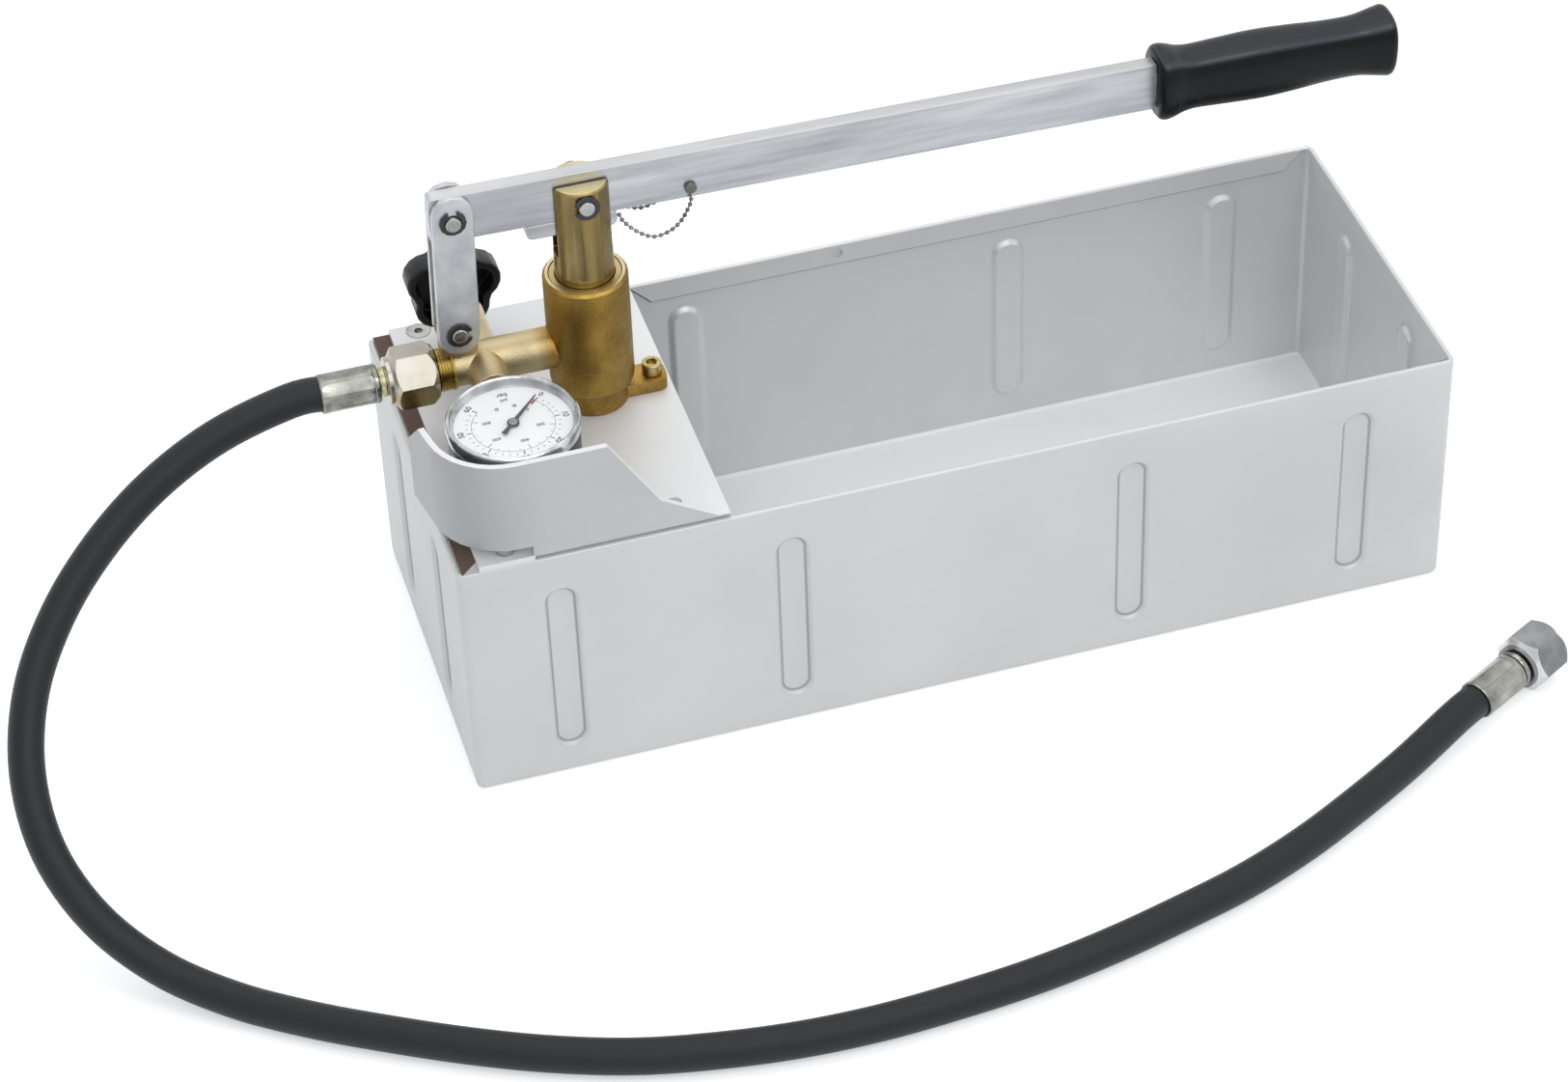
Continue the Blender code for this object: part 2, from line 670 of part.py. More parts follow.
def deck_screw_places():
    """Name and place of the screws that go through the deck into the tank's flanges."""
    back = DECK_BACK - DECK_SCREW_INSET[1]
    left = DECK_LEFT + DECK_SCREW_INSET[0]
    yield "back_left", left, back
    yield "back_right", left + BACK_SCREW_SPACING, back
    yield "front_left", DECK_LEFT + TAB_SCREW_INSET[0], GUARD_FACE + TAB_SCREW_INSET[1]
    yield "front_right", DECK_RIGHT - SMALL_SCREW_INSET[0], GUARD_FACE + SMALL_SCREW_INSET[1]


def guard_path(distance):
    """Point on the guard's outer face, and the direction into the guard, past the start of its turn."""
    start = Vector((DECK_LEFT + GUARD_TURN_START, GUARD_FACE))
    turned = min(max(distance / GUARD_TURN_RADIUS, 0), GUARD_TURN)
    centre = start + Vector((0, GUARD_TURN_RADIUS))
    point = centre - GUARD_TURN_RADIUS * Vector((math.sin(turned), math.cos(turned)))
    straight = distance - turned * GUARD_TURN_RADIUS
    point += straight * Vector((-math.cos(turned), math.sin(turned)))
    return point, Vector((math.sin(turned), math.cos(turned)))


def guard_turn():
    """The part of the guard that leaves the front, turns and ends in the left flange."""
    top = DECK_BOTTOM + GUARD_HEIGHT
    low = TANK_HEIGHT + GUARD_FREE_HEIGHT
    turn = GUARD_TURN * GUARD_TURN_RADIUS
    overlap = GUARD_CUT - GUARD_TURN_START + SEAM
    places = [(-overlap, top)] + [(turn * i / GUARD_TURN_STEPS, top) for i in range(GUARD_TURN_STEPS + 1)]
    places += [(turn + GUARD_FLANGE_TOP, top), (turn + GUARD_FLANGE_LOW, top - GUARD_FLANGE_DROP)]
    loops = []
    for distance, high in places:
        face, inside = guard_path(distance)
        back = face + inside * DECK_SHEET
        loops.append([(*face, low), (*face, high), (*back, high), (*back, low)])
    return loft(loops)


def guard_slopes():
    """What is cut from the guard's right end, above its two slopes."""
    start = DECK_LEFT + GUARD_SLOPE_START
    top = DECK_BOTTOM + GUARD_HEIGHT
    knee = (start + GUARD_SLOPE_RUN, top - GUARD_SLOPE_DROP)
    foot = (knee[0] + GUARD_TAIL_RUN, DECK_TOP)
    end = DECK_RIGHT + OVERRUN
    over = OVERRUN * GUARD_SLOPE_RUN / GUARD_SLOPE_DROP
    outline = [(start - over, top + OVERRUN), (start, top), knee, foot, (end, DECK_TOP), (end, top + OVERRUN)]
    return plate(outline, GUARD_BEND + 2 * OVERRUN)


def make_deck():
    bend = (GUARD_FACE + GUARD_BEND, DECK_BOTTOM + GUARD_BEND)
    top = DECK_BOTTOM + GUARD_HEIGHT
    section = [(DECK_BACK, DECK_BOTTOM)]
    section += arc(bend, GUARD_BEND, -math.pi / 2, -math.pi, CORNER_STEPS)
    section += [(GUARD_FACE, top), (GUARD_FACE + DECK_SHEET, top)]
    section += arc(bend, GUARD_BEND - DECK_SHEET, math.pi, 3 * math.pi / 2, CORNER_STEPS)
    section += [(DECK_BACK, DECK_TOP)]
    ends = (DECK_LEFT + GUARD_CUT, DECK_RIGHT)
    deck = piece("deck_guard", loft([[(x, y, z) for y, z in section] for x in ends]), "painted")
    tab = block((DECK_LEFT, GUARD_FACE, DECK_BOTTOM), (DECK_LEFT + GUARD_CUT + SEAM, DECK_BACK, DECK_TOP))
    fuse(deck, "tab", tab)
    fuse(deck, "turn", guard_turn())
    cut(deck, "slopes", guard_slopes(), (0, GUARD_FACE + GUARD_BEND / 2, 0))
    through = (DECK_BOTTOM - OVERRUN, DECK_TOP + OVERRUN)
    spigot_hole = disc(SPIGOT_RADIUS + GAP, *through, ARM_STEPS)
    cut(deck, "spigot_hole", spigot_hole, (PUMP_X, PUMP_OFFSET, 0))
    for name, x, y in deck_screw_places():
        cut(deck, f"hole_{name}", disc(SCREW_HOLE, *through, SCREW_STEPS), (x, y, 0))
        if name in ("front_left",):
            continue
        screw = SMALL_SCREW if name == "front_right" else DECK_SCREW
        cut(deck, f"sink_{name}", countersink(screw), (x, y, DECK_TOP))
    ear_hole = disc(EAR_SCREW["shank_radius"] + GAP, *through, SCREW_STEPS)
    cut(deck, "ear_hole", ear_hole, (PUMP_X + EAR_REACH, PUMP_OFFSET, 0))


def countersink(screw):
    """The conical seat of a countersunk screw, its mouth at height 0."""
    rise = OVERRUN / screw["head"] * (screw["head_radius"] - screw["shank_radius"])
    mouth = screw["head_radius"] + GAP
    floor = screw["shank_radius"] + GAP
    depth = screw["head"] + GAP
    profile = ((0, -depth), (floor, -depth), (mouth, 0), (mouth + rise, OVERRUN), (0, OVERRUN))
    return lathe(profile, SCREW_STEPS)


def cap_screw(name, screw, place, finish, parent=None):
    """A cylinder-head screw with a hexagon socket; its head stands on height 0."""
    edge = screw["head_radius"] / 8
    profile = (
        (0, -screw["shank"]),
        (screw["shank_radius"], -screw["shank"]),
        (screw["shank_radius"], 0),
        (screw["head_radius"], 0),
        (screw["head_radius"], screw["head"] - edge),
        (screw["head_radius"] - edge, screw["head"]),
        (0, screw["head"]),
    )
    obj = piece(name, lathe(profile, SCREW_STEPS), finish, place, parent=parent)
    floor = screw["head"] * (1 - SOCKET_DEPTH_SHARE)
    cut(obj, "socket", hexagon(screw["socket"], floor, screw["head"] + OVERRUN), place)
    return obj


def sunk_screw(name, screw, place, finish):
    """A countersunk screw with a hexagon socket; its head's top is at height 0."""
    bottom = -screw["head"] - screw["shank"]
    profile = (
        (0, bottom),
        (screw["shank_radius"], bottom),
        (screw["shank_radius"], -screw["head"]),
        (screw["head_radius"], 0),
        (0, 0),
    )
    obj = piece(name, lathe(profile, SCREW_STEPS), finish, place)
    floor = -screw["head"] * SOCKET_DEPTH_SHARE
    cut(obj, "socket", hexagon(screw["socket"], floor, OVERRUN), place)
    return obj


def make_deck_screws():
    for name, x, y in deck_screw_places():
        if name == "front_left":
            cap_screw(f"deck_screw_{name}", TAB_SCREW, (x, y, DECK_TOP + GAP), "zinc")
        else:
            screw = SMALL_SCREW if name == "front_right" else DECK_SCREW
            sunk_screw(f"deck_screw_{name}", screw, (x, y, DECK_TOP), "zinc")
    ear_top = (PUMP_X + EAR_REACH, PUMP_OFFSET, FOOT_BOTTOM + EAR_THICKNESS + GAP)
    cap_screw("ear_screw", EAR_SCREW, ear_top, "yellow_zinc")


def make_pump_body():
    """The casting: barrel, foot and spigot, with the ear, arm, boss, branch and lug fused to it."""
    axis = (PUMP_X, PUMP_OFFSET, 0)
    belly = (BARREL_RADIUS - BARREL_ROUND, FOOT_BOTTOM + FOOT_HEIGHT + BARREL_ROUND)
    profile = [(0, FOOT_BOTTOM - SPIGOT_LENGTH), (SPIGOT_RADIUS, FOOT_BOTTOM - SPIGOT_LENGTH)]
    profile += [(SPIGOT_RADIUS, FOOT_BOTTOM), (FOOT_RADIUS, FOOT_BOTTOM)]
    profile += [(FOOT_RADIUS, FOOT_BOTTOM + FOOT_HEIGHT)]
    profile += arc(belly, BARREL_ROUND, -math.pi / 2, 0, CORNER_STEPS)
    profile += [(BARREL_RADIUS, BARREL_TOP - BARREL_CHAMFER), (BARREL_RADIUS - BARREL_CHAMFER, BARREL_TOP)]
    profile += [(0, BARREL_TOP)]
    body = piece("pump_body", lathe(profile, BARREL_STEPS), "brass", axis)
    ear = rounded(
        [
            (0, -EAR_HALF_WIDTH, 0),
            (EAR_REACH + EAR_END, -EAR_HALF_WIDTH, EAR_ROUND),
            (EAR_REACH + EAR_END, EAR_HALF_WIDTH, EAR_ROUND),
            (0, EAR_HALF_WIDTH, 0),
        ]
    )
    fuse(body, "ear", slab(ear, FOOT_BOTTOM, FOOT_BOTTOM + EAR_THICKNESS), axis)
    arm = [(0, 0), (ARM_RADIUS, 0), (ARM_RADIUS, CROSS_REACH + BOSS_RADIUS / 2)]
    arm += [(ARM_NECK_RADIUS, CROSS_REACH + BOSS_RADIUS), (ARM_NECK_RADIUS, THREAD_START)]
    arm += [(THREAD_RADIUS, THREAD_START), (THREAD_RADIUS, THREAD_END), (0, THREAD_END)]
    middle = (PUMP_X, PUMP_OFFSET, ARM_Z)
    cross = (CROSS_X, PUMP_OFFSET, ARM_Z)
    fuse(body, "arm", lathe(arm, ARM_STEPS, 0.5), middle, TO_LEFT)
    boss = disc(BOSS_RADIUS, -BOSS_RADIUS / 2, BOSS_REACH, ARM_STEPS, step_share=0.5)
    fuse(body, "boss", boss, cross, TO_FRONT)
    branch = disc(BRANCH_RADIUS, -BRANCH_RADIUS / 3, BRANCH_REACH, ARM_STEPS, step_share=0.5)
    fuse(body, "branch", branch, cross, TO_BACK)
    lug = [(x, z) for x, z in arc((0, 0), LUG_RADIUS, 0, math.pi, 2 * CORNER_STEPS)]
    lug_foot = ARM_RADIUS / 2 - LUG_HEIGHT
    lug += [(-LUG_RADIUS, lug_foot), (LUG_RADIUS, lug_foot)]
    fuse(body, "lug", plate(lug, LUG_THICKNESS - 2 * GAP), LUG_PIN)
    chamber = (
        (0, FOOT_BOTTOM + CHAMBER_FLOOR),
        (CHAMBER_RADIUS, FOOT_BOTTOM + CHAMBER_FLOOR),
        (CHAMBER_RADIUS, BARREL_TOP - GLAND_DEPTH),
        (GLAND_RADIUS, BARREL_TOP - GLAND_DEPTH),
        (GLAND_RADIUS, BARREL_TOP + OVERRUN),
        (0, BARREL_TOP + OVERRUN),
    )
    cut(body, "chamber", lathe(chamber, BARREL_STEPS), axis)
    spigot_end = FOOT_BOTTOM - SPIGOT_LENGTH
    inlet = (
        (0, spigot_end - OVERRUN),
        (VALVE_BORE_RADIUS, spigot_end - OVERRUN),
        (VALVE_BORE_RADIUS, spigot_end + VALVE_BORE_DEPTH),
        (PASSAGE_RADIUS, spigot_end + VALVE_BORE_DEPTH),
        (PASSAGE_RADIUS, FOOT_BOTTOM + CHAMBER_FLOOR + SEAM),
        (0, FOOT_BOTTOM + CHAMBER_FLOOR + SEAM),
    )
    cut(body, "inlet", lathe(inlet, ARM_STEPS), axis)
    outlet = (
        (0, CHAMBER_RADIUS - OVERRUN),
        (PASSAGE_RADIUS, CHAMBER_RADIUS - OVERRUN),
        (PASSAGE_RADIUS, DELIVERY_SEAT),
        (ARM_BORE_RADIUS, DELIVERY_SEAT),
        (ARM_BORE_RADIUS, THREAD_END + OVERRUN),
        (0, THREAD_END + OVERRUN),
    )
    cut(body, "outlet", lathe(outlet, ARM_STEPS, 0.5), middle, TO_LEFT)
    socket = (
        (0, -PASSAGE_RADIUS),
        (PASSAGE_RADIUS, -PASSAGE_RADIUS),
        (PASSAGE_RADIUS, BOSS_REACH - BOSS_BORE_DEPTH),
        (BOSS_BORE_RADIUS, BOSS_REACH - BOSS_BORE_DEPTH),
        (BOSS_BORE_RADIUS, BOSS_REACH + OVERRUN),
        (0, BOSS_REACH + OVERRUN),
    )
    cut(body, "gauge_socket", lathe(socket, ARM_STEPS, 0.5), cross, TO_FRONT)
    spindle_bore = disc(SPINDLE_RADIUS + GAP, 0, BRANCH_REACH + OVERRUN, ARM_STEPS, step_share=0.5)
    cut(body, "spindle_bore", spindle_bore, cross, TO_BACK)
    cut(body, "lug_hole", disc(PIN_RADIUS + GAP, -LUG_THICKNESS, LUG_THICKNESS, PIN_STEPS), LUG_PIN, TO_BACK)
    ear_place = (PUMP_X + EAR_REACH, PUMP_OFFSET, FOOT_BOTTOM)
    ear_hole = disc(EAR_SCREW["shank_radius"] + GAP, -OVERRUN, EAR_THICKNESS + OVERRUN, SCREW_STEPS)
    cut(body, "ear_hole", ear_hole, ear_place)


def seat_ring(radius):
    """A valve seat standing on height 0, its mouth bevelled at 45 degrees."""
    return lathe(
        (
            (radius, 0),
            (radius, SEAT_HEIGHT),
            (SEAT_BORE_RADIUS + SEAT_BEVEL, SEAT_HEIGHT),
            (SEAT_BORE_RADIUS, SEAT_HEIGHT - SEAT_BEVEL),
            (SEAT_BORE_RADIUS, 0),
        ),
        INNER_STEPS,
    )


def ball(radius):
    profile = [(0, -radius)]
    profile += arc((0, 0), radius, -math.pi / 2, math.pi / 2, BALL_STEPS // 2)[1:-1]
    return lathe(profile + [(0, radius)], BALL_STEPS)


def ball_lift(radius):
    """Height over the seat's foot of the centre of a ball that rests on the bevel."""
    cone_tip = SEAT_HEIGHT - SEAT_BEVEL - SEAT_BORE_RADIUS
    return cone_tip + radius * math.sqrt(2) + GAP


def make_inner_valves():
    axis = Vector((PUMP_X, PUMP_OFFSET, 0))
    spigot_end = FOOT_BOTTOM - SPIGOT_LENGTH
    nut_top = DECK_BOTTOM - GAP
    nut = piece("body_nut", hexagon(BODY_NUT_RADIUS, nut_top - BODY_NUT_HEIGHT, nut_top), "brass", axis)
    nut_bore = disc(SPIGOT_RADIUS + GAP, nut_top - BODY_NUT_HEIGHT - OVERRUN, nut_top + OVERRUN, ARM_STEPS)
    cut(nut, "bore", nut_bore, axis)
    seal_low = BARREL_TOP - GLAND_DEPTH + GAP
    seal_high = seal_low + SEAL_HEIGHT
    ring = (GLAND_RADIUS - GAP, PLUNGER_RADIUS + GAP)
    piece("plunger_seal", tube(*ring, seal_low, seal_high, BARREL_STEPS), "rubber", axis)
    piece("gland_ring", tube(*ring, seal_high + GAP, BARREL_TOP - GAP, BARREL_STEPS), "brass", axis)
    pipe_top = spigot_end + PIPE_OVERLAP
    pipe = tube(VALVE_BORE_RADIUS - GAP, PIPE_BORE_RADIUS, PIPE_FLOOR_GAP, pipe_top, INNER_STEPS)
    piece("suction_pipe", pipe, "black_plastic", axis)
    seat = Vector((PUMP_X, PUMP_OFFSET, pipe_top + GAP))
    piece("suction_seat", seat_ring(VALVE_BORE_RADIUS - GAP), "brass", seat)
    lift = Vector((0, 0, ball_lift(SUCTION_BALL_RADIUS)))
    piece("suction_ball", ball(SUCTION_BALL_RADIUS), "zinc", seat + lift)
    make_strainer(axis)
    seat_x = PUMP_X - DELIVERY_SEAT - GAP
    piece("delivery_seat", seat_ring(ARM_BORE_RADIUS - GAP), "brass", (seat_x, PUMP_OFFSET, ARM_Z), TO_LEFT)
    ball_x = seat_x - ball_lift(DELIVERY_BALL_RADIUS)
    piece("delivery_ball", ball(DELIVERY_BALL_RADIUS), "zinc", (ball_x, PUMP_OFFSET, ARM_Z))
    spring_x = ball_x - DELIVERY_BALL_RADIUS - SPRING_WIRE_RADIUS - GAP
    make_spring(spring_x)
    guide_x = spring_x - SPRING_LENGTH - SPRING_WIRE_RADIUS - GAP
    guide = tube(ARM_BORE_RADIUS - GAP, PASSAGE_RADIUS, 0, GUIDE_LENGTH, INNER_STEPS)
    piece("spring_guide", guide, "brass", (guide_x, PUMP_OFFSET, ARM_Z), TO_LEFT)


def make_spring(start):
    """The delivery valve's spring: one helix of round wire along the arm."""
    curve = bpy.data.curves.new("delivery_spring", "CURVE")
    curve.dimensions = "3D"
    curve.bevel_depth = SPRING_WIRE_RADIUS
    curve.bevel_resolution = 1
    curve.use_fill_caps = True
    count = SPRING_TURNS * SPRING_POINTS + 1
    spline = curve.splines.new("POLY")
    spline.points.add(count - 1)
    for i, point in enumerate(spline.points):
        turn = 2 * math.pi * i / SPRING_POINTS
        along = SPRING_LENGTH * i / (count - 1)
        point.co = (-along, SPRING_RADIUS * math.cos(turn), SPRING_RADIUS * math.sin(turn), 1)
    spring = placed("delivery_spring", curve, (start, PUMP_OFFSET, ARM_Z))
    painted(spring, "zinc")


def make_strainer(axis):
    low = STRAINER_FLOOR_GAP
    high = low + STRAINER_HEIGHT
    inner = VALVE_BORE_RADIUS
    floor = low + STRAINER_FLOOR
    outer = STRAINER_RADIUS
    profile = ((0, low), (outer, low), (outer, high), (inner, high), (inner, floor), (0, floor))
    strainer = piece("strainer", lathe(profile, INNER_STEPS), "black_plastic", axis)
    slot_top = (low + high) / 2
    reach = STRAINER_RADIUS + OVERRUN
    for i in range(STRAINER_SLOTS // 2):
        slot = block((-reach, -STRAINER_SLOT / 2, floor), (reach, STRAINER_SLOT / 2, slot_top))
        cut(strainer, f"slots_{i}", slot, axis, (0, 0, 2 * math.pi * i / STRAINER_SLOTS))


def snap_ring(name, place, turn, opening, parent):
    """A snap ring on a pin: round, with a mouth towards the opening angle."""
    ring = piece(name, disc(RING_RADIUS, 0, RING_THICKNESS, PIN_STEPS), "black_steel", place, turn, parent)
    cut(ring, "bore", disc(PIN_RADIUS + GAP, -OVERRUN, RING_THICKNESS + OVERRUN, PIN_STEPS), place, turn)
    far_corner = (RING_RADIUS + OVERRUN, RING_MOUTH / 2, RING_THICKNESS + OVERRUN)
    mouth = block((0, -RING_MOUTH / 2, -OVERRUN), far_corner)
    bmesh.ops.transform(mouth, matrix=Matrix.Rotation(opening, 4, "Z"), verts=mouth.verts)
    cut(ring, "mouth", mouth, place, turn)


def ringed_pin(name, half_width, place, parent, openings):
    """A round pin along Y with a snap ring on each end, outside faces at the half width."""
    half = half_width + GAP + RING_THICKNESS + PIN_END / 2
    pin = disc(PIN_RADIUS, -half, half, PIN_STEPS, PIN_RADIUS / 8)
    piece(name, pin, "zinc", place, TO_BACK, parent)
    seat = half_width + GAP
    front = Vector(place) - Vector((0, seat, 0))
    back = Vector(place) + Vector((0, seat, 0))
    snap_ring(f"{name}_ring_front", front, TO_FRONT, openings[0], parent)
    snap_ring(f"{name}_ring_back", back, TO_BACK, openings[1], parent)


def make_plunger():
    slide = empty("plunger_slide", PLUNGER_PIN)
    top = PLUNGER_CROWN
    profile = (
        (0, -PLUNGER_REACH),
        (PLUNGER_RADIUS - PLUNGER_CHAMFER, -PLUNGER_REACH),
        (PLUNGER_RADIUS, PLUNGER_CHAMFER - PLUNGER_REACH),
        (PLUNGER_RADIUS, top - PLUNGER_CHAMFER),
        (PLUNGER_RADIUS - PLUNGER_CHAMFER, top),
        (0, top),
    )
    plunger = piece("plunger", lathe(profile, BARREL_STEPS), "stainless", parent=slide)
    reach = PLUNGER_RADIUS + OVERRUN
    slot = block((-reach, -SLOT_WIDTH / 2, -SLOT_DEPTH), (reach, SLOT_WIDTH / 2, top + OVERRUN))
    cut(plunger, "fork", slot)
    cut(plunger, "pin_hole", disc(PIN_RADIUS + GAP, -reach, reach, PIN_STEPS), turn=TO_BACK)
    ringed_pin("plunger_pin", PLUNGER_RADIUS, (0, 0, 0), slide, (math.pi, 0))
    return slide


def make_lever(slide):
    """The lever in its own frame: X along it from the plunger pin, Z across it."""
    pivot = empty("lever_pivot", (0, 0, 0), (0, LEVER_TILT, 0), slide)
    half = LEVER_HEIGHT / 2
    tang = TANG_HEIGHT / 2
    shoulder = GRIP_START - GAP
    end = GRIP_START + TANG_LENGTH
    outline = rounded(
        [
            (-LEVER_TAIL, half, LEVER_CORNER),
            (-LEVER_TAIL, -half, LEVER_CORNER),
            (shoulder, -half, 0),
            (shoulder, -tang, 0),
            (end, -tang, LEVER_CORNER),
            (end, tang, LEVER_CORNER),
            (shoulder, tang, 0),
            (shoulder, half, 0),
        ]
    )
    bar = piece("lever_bar", plate(outline, LEVER_THICKNESS), "zinc", parent=pivot)
    depth = LEVER_THICKNESS
    cut(bar, "pin_hole", disc(PIN_RADIUS + GAP, -depth, depth, PIN_STEPS), turn=TO_BACK)
    clear = PIN_RADIUS + GAP
    opening = rounded(
        [
            (-LINK_ARM - SLIP_BACK - clear, -SLIP_DOWN - clear, PIN_RADIUS),
            (-LINK_ARM + SLIP_FORWARD + clear, -SLIP_DOWN - clear, PIN_RADIUS),
            (-LINK_ARM + SLIP_FORWARD + clear, SLIP_UP + clear, PIN_RADIUS),
            (-LINK_ARM - SLIP_BACK - clear, SLIP_UP + clear, PIN_RADIUS),
        ]
    )
    cut(bar, "link_opening", plate(opening, 2 * depth))
    stud_place = (STUD_REACH, 0, -STUD_DROP)
    cut(bar, "stud_hole", disc(STUD_RADIUS + GAP, -depth, depth, SCREW_STEPS), stud_place, TO_BACK)
    face = LEVER_THICKNESS / 2 + GAP
    stud = (
        (0, -face - STUD_HEAD),
        (STUD_HEAD_RADIUS, -face - STUD_HEAD),
        (STUD_HEAD_RADIUS, -face),
        (STUD_RADIUS, -face),
        (STUD_RADIUS, face),
        (STUD_HEAD_RADIUS, face),
        (STUD_HEAD_RADIUS, face + STUD_HEAD),
        (0, face + STUD_HEAD),
    )
    piece("chain_stud", lathe(stud, SCREW_STEPS), "zinc", stud_place, TO_BACK, pivot)
    make_grip(pivot)
    return pivot


def make_grip(pivot):
    loops = []
    for place_share, size_share in GRIP_PROFILE_SHARES:
        tall = size_share * GRIP_HEIGHT / 2
        wide = tall * GRIP_OVAL_SHARE
        turn = 2 * math.pi / GRIP_SEGMENTS
        loops.append(
            [
                (place_share * GRIP_LENGTH, wide * math.cos(i * turn), tall * math.sin(i * turn))
                for i in range(GRIP_SEGMENTS)
            ]
        )
    grip = piece("grip", loft(loops), "rubber", (GRIP_START, 0, 0), parent=pivot)
    wide = LEVER_THICKNESS / 2 + GAP
    tall = TANG_HEIGHT / 2 + GAP
    socket = block((-OVERRUN, -wide, -tall), (TANG_LENGTH + GAP, wide, tall))
    cut(grip, "tang_socket", socket, (GRIP_START, 0, 0))


def make_lock_bar(pivot):
    """The bar under the lever in the plunger's fork, and the ball chain that keeps it."""
    guide = empty("lock_bar_guide", (0, 0, -LEVER_HEIGHT / 2 - GAP), (0, 0, 0), pivot)
    outline = rounded(
        [
            (-BAR_BACK, 0, BAR_ROUND / 2),
            (-BAR_BACK, -BAR_HEIGHT, BAR_ROUND),
            (BAR_LENGTH - BAR_BACK, -BAR_HEIGHT, BAR_ROUND),
            (BAR_LENGTH - BAR_BACK, 0, BAR_ROUND / 2),
        ]
    )
    piece("lock_bar", plate(outline, LEVER_THICKNESS), "zinc", parent=guide)
    piece("lock_chain", ball_chain(smooth_route(chain_route())), "zinc", parent=guide)


def chain_route():
    """From under the stud's head, in front of the lever, to the middle of the lock bar's end face."""
    touching = GAP + CHAIN_BALL_RADIUS
    lever_low = LEVER_HEIGHT / 2 + GAP
    start_z = lever_low - STUD_DROP - STUD_HEAD_RADIUS - touching
    start = Vector((STUD_REACH, -LEVER_THICKNESS / 2 - touching, start_z))
    end = Vector((BAR_LENGTH - BAR_BACK + touching, 0, -BAR_HEIGHT / 2))
    route = []
    for run_share, sag_share in CHAIN_SHAPE_SHARES:
        point = start.lerp(end, run_share)
        point.y = start.y * (1 - run_share**2)
        point.z -= CHAIN_SAG * sag_share
        route.append(point)
    return route


def ball_chain(curve):
    """A chain of balls on a wire, as one skin: the tube swells at each ball."""
    total, at = measured(curve)
    count = round(total / CHAIN_PITCH)
    pitch = total / count
    places = []
    swell = math.sqrt(CHAIN_BALL_RADIUS**2 - CHAIN_NECK_RADIUS**2)
    for i in range(count):
        middle = (i + 0.5) * pitch
        places.append((middle - swell, CHAIN_NECK_RADIUS))
        places.append((middle, CHAIN_BALL_RADIUS))
        places.append((middle + swell, CHAIN_NECK_RADIUS))
    loops = []
    for distance, radius in places:
        point, ahead = at(distance)
        side = Vector((0, 1, 0))
        up = ahead.cross(side).normalized()
        turns = [2 * math.pi * k / CHAIN_SIDES for k in range(CHAIN_SIDES)]
        loops.append([point + radius * (math.cos(turn) * side + math.sin(turn) * up) for turn in turns])
    return loft(loops)


def smooth_route(points):
    """Many points on a smooth curve that passes through each point of the route."""
    ends = [2 * points[0] - points[1]] + list(points) + [2 * points[-1] - points[-2]]
    curve = []
    for before, start, end, after in zip(ends, ends[1:], ends[2:], ends[3:]):
        for i in range(HOSE_SAMPLES):
            t = i / HOSE_SAMPLES
            curve.append(
                0.5
                * (
                    2 * start
                    + (end - before) * t
                    + (2 * before - 5 * start + 4 * end - after) * t**2
                    + (3 * start - before - 3 * end + after) * t**3
                )
            )
    return curve + [points[-1]]


def measured(curve):
    """The curve's length, and a function that gives the point and the direction at a distance along it."""
    reach = [0.0]
    for start, end in zip(curve, curve[1:]):
        reach.append(reach[-1] + (end - start).length)

    def at(distance):
        index = 0
        while index < len(curve) - 2 and reach[index + 1] < distance:
            index += 1
        step = curve[index + 1] - curve[index]
        share = (distance - reach[index]) / (reach[index + 1] - reach[index])
        return curve[index] + share * step, step.normalized()

    return reach[-1], at


def make_link():
    """Two plates, hinged on the lug below and joined to the lever above."""
    pivot = empty("link_pivot", LUG_PIN, (0, LINK_LEAN, 0))
    half = LINK_WIDTH / 2
    outline = rounded(
        [
            (-half, -LINK_LOW_MARGIN, LINK_ROUND),
            (half, -LINK_LOW_MARGIN, LINK_ROUND),
            (half, LINK_LENGTH + LINK_TOP_MARGIN, LINK_ROUND),
            (-half, LINK_LENGTH + LINK_TOP_MARGIN, LINK_ROUND),
        ]
    )
    offset = (LEVER_THICKNESS + LINK_SHEET) / 2 + GAP
    for name, side in (("link_front", -1), ("link_back", 1)):
        link = piece(name, plate(outline, LINK_SHEET), "zinc", (0, side * offset, 0), parent=pivot)
        for hole, height in (("low_hole", 0), ("top_hole", LINK_LENGTH)):
            bore = disc(PIN_RADIUS + GAP, -LINK_SHEET, LINK_SHEET, PIN_STEPS)
            cut(link, hole, bore, (0, side * offset, height), TO_BACK)
    outer = offset + LINK_SHEET / 2
    ringed_pin("link_pin_low", outer, (0, 0, 0), pivot, (0, math.pi))
    ringed_pin("link_pin_top", outer, (0, 0, LINK_LENGTH), pivot, (-math.pi / 2, math.pi / 2))


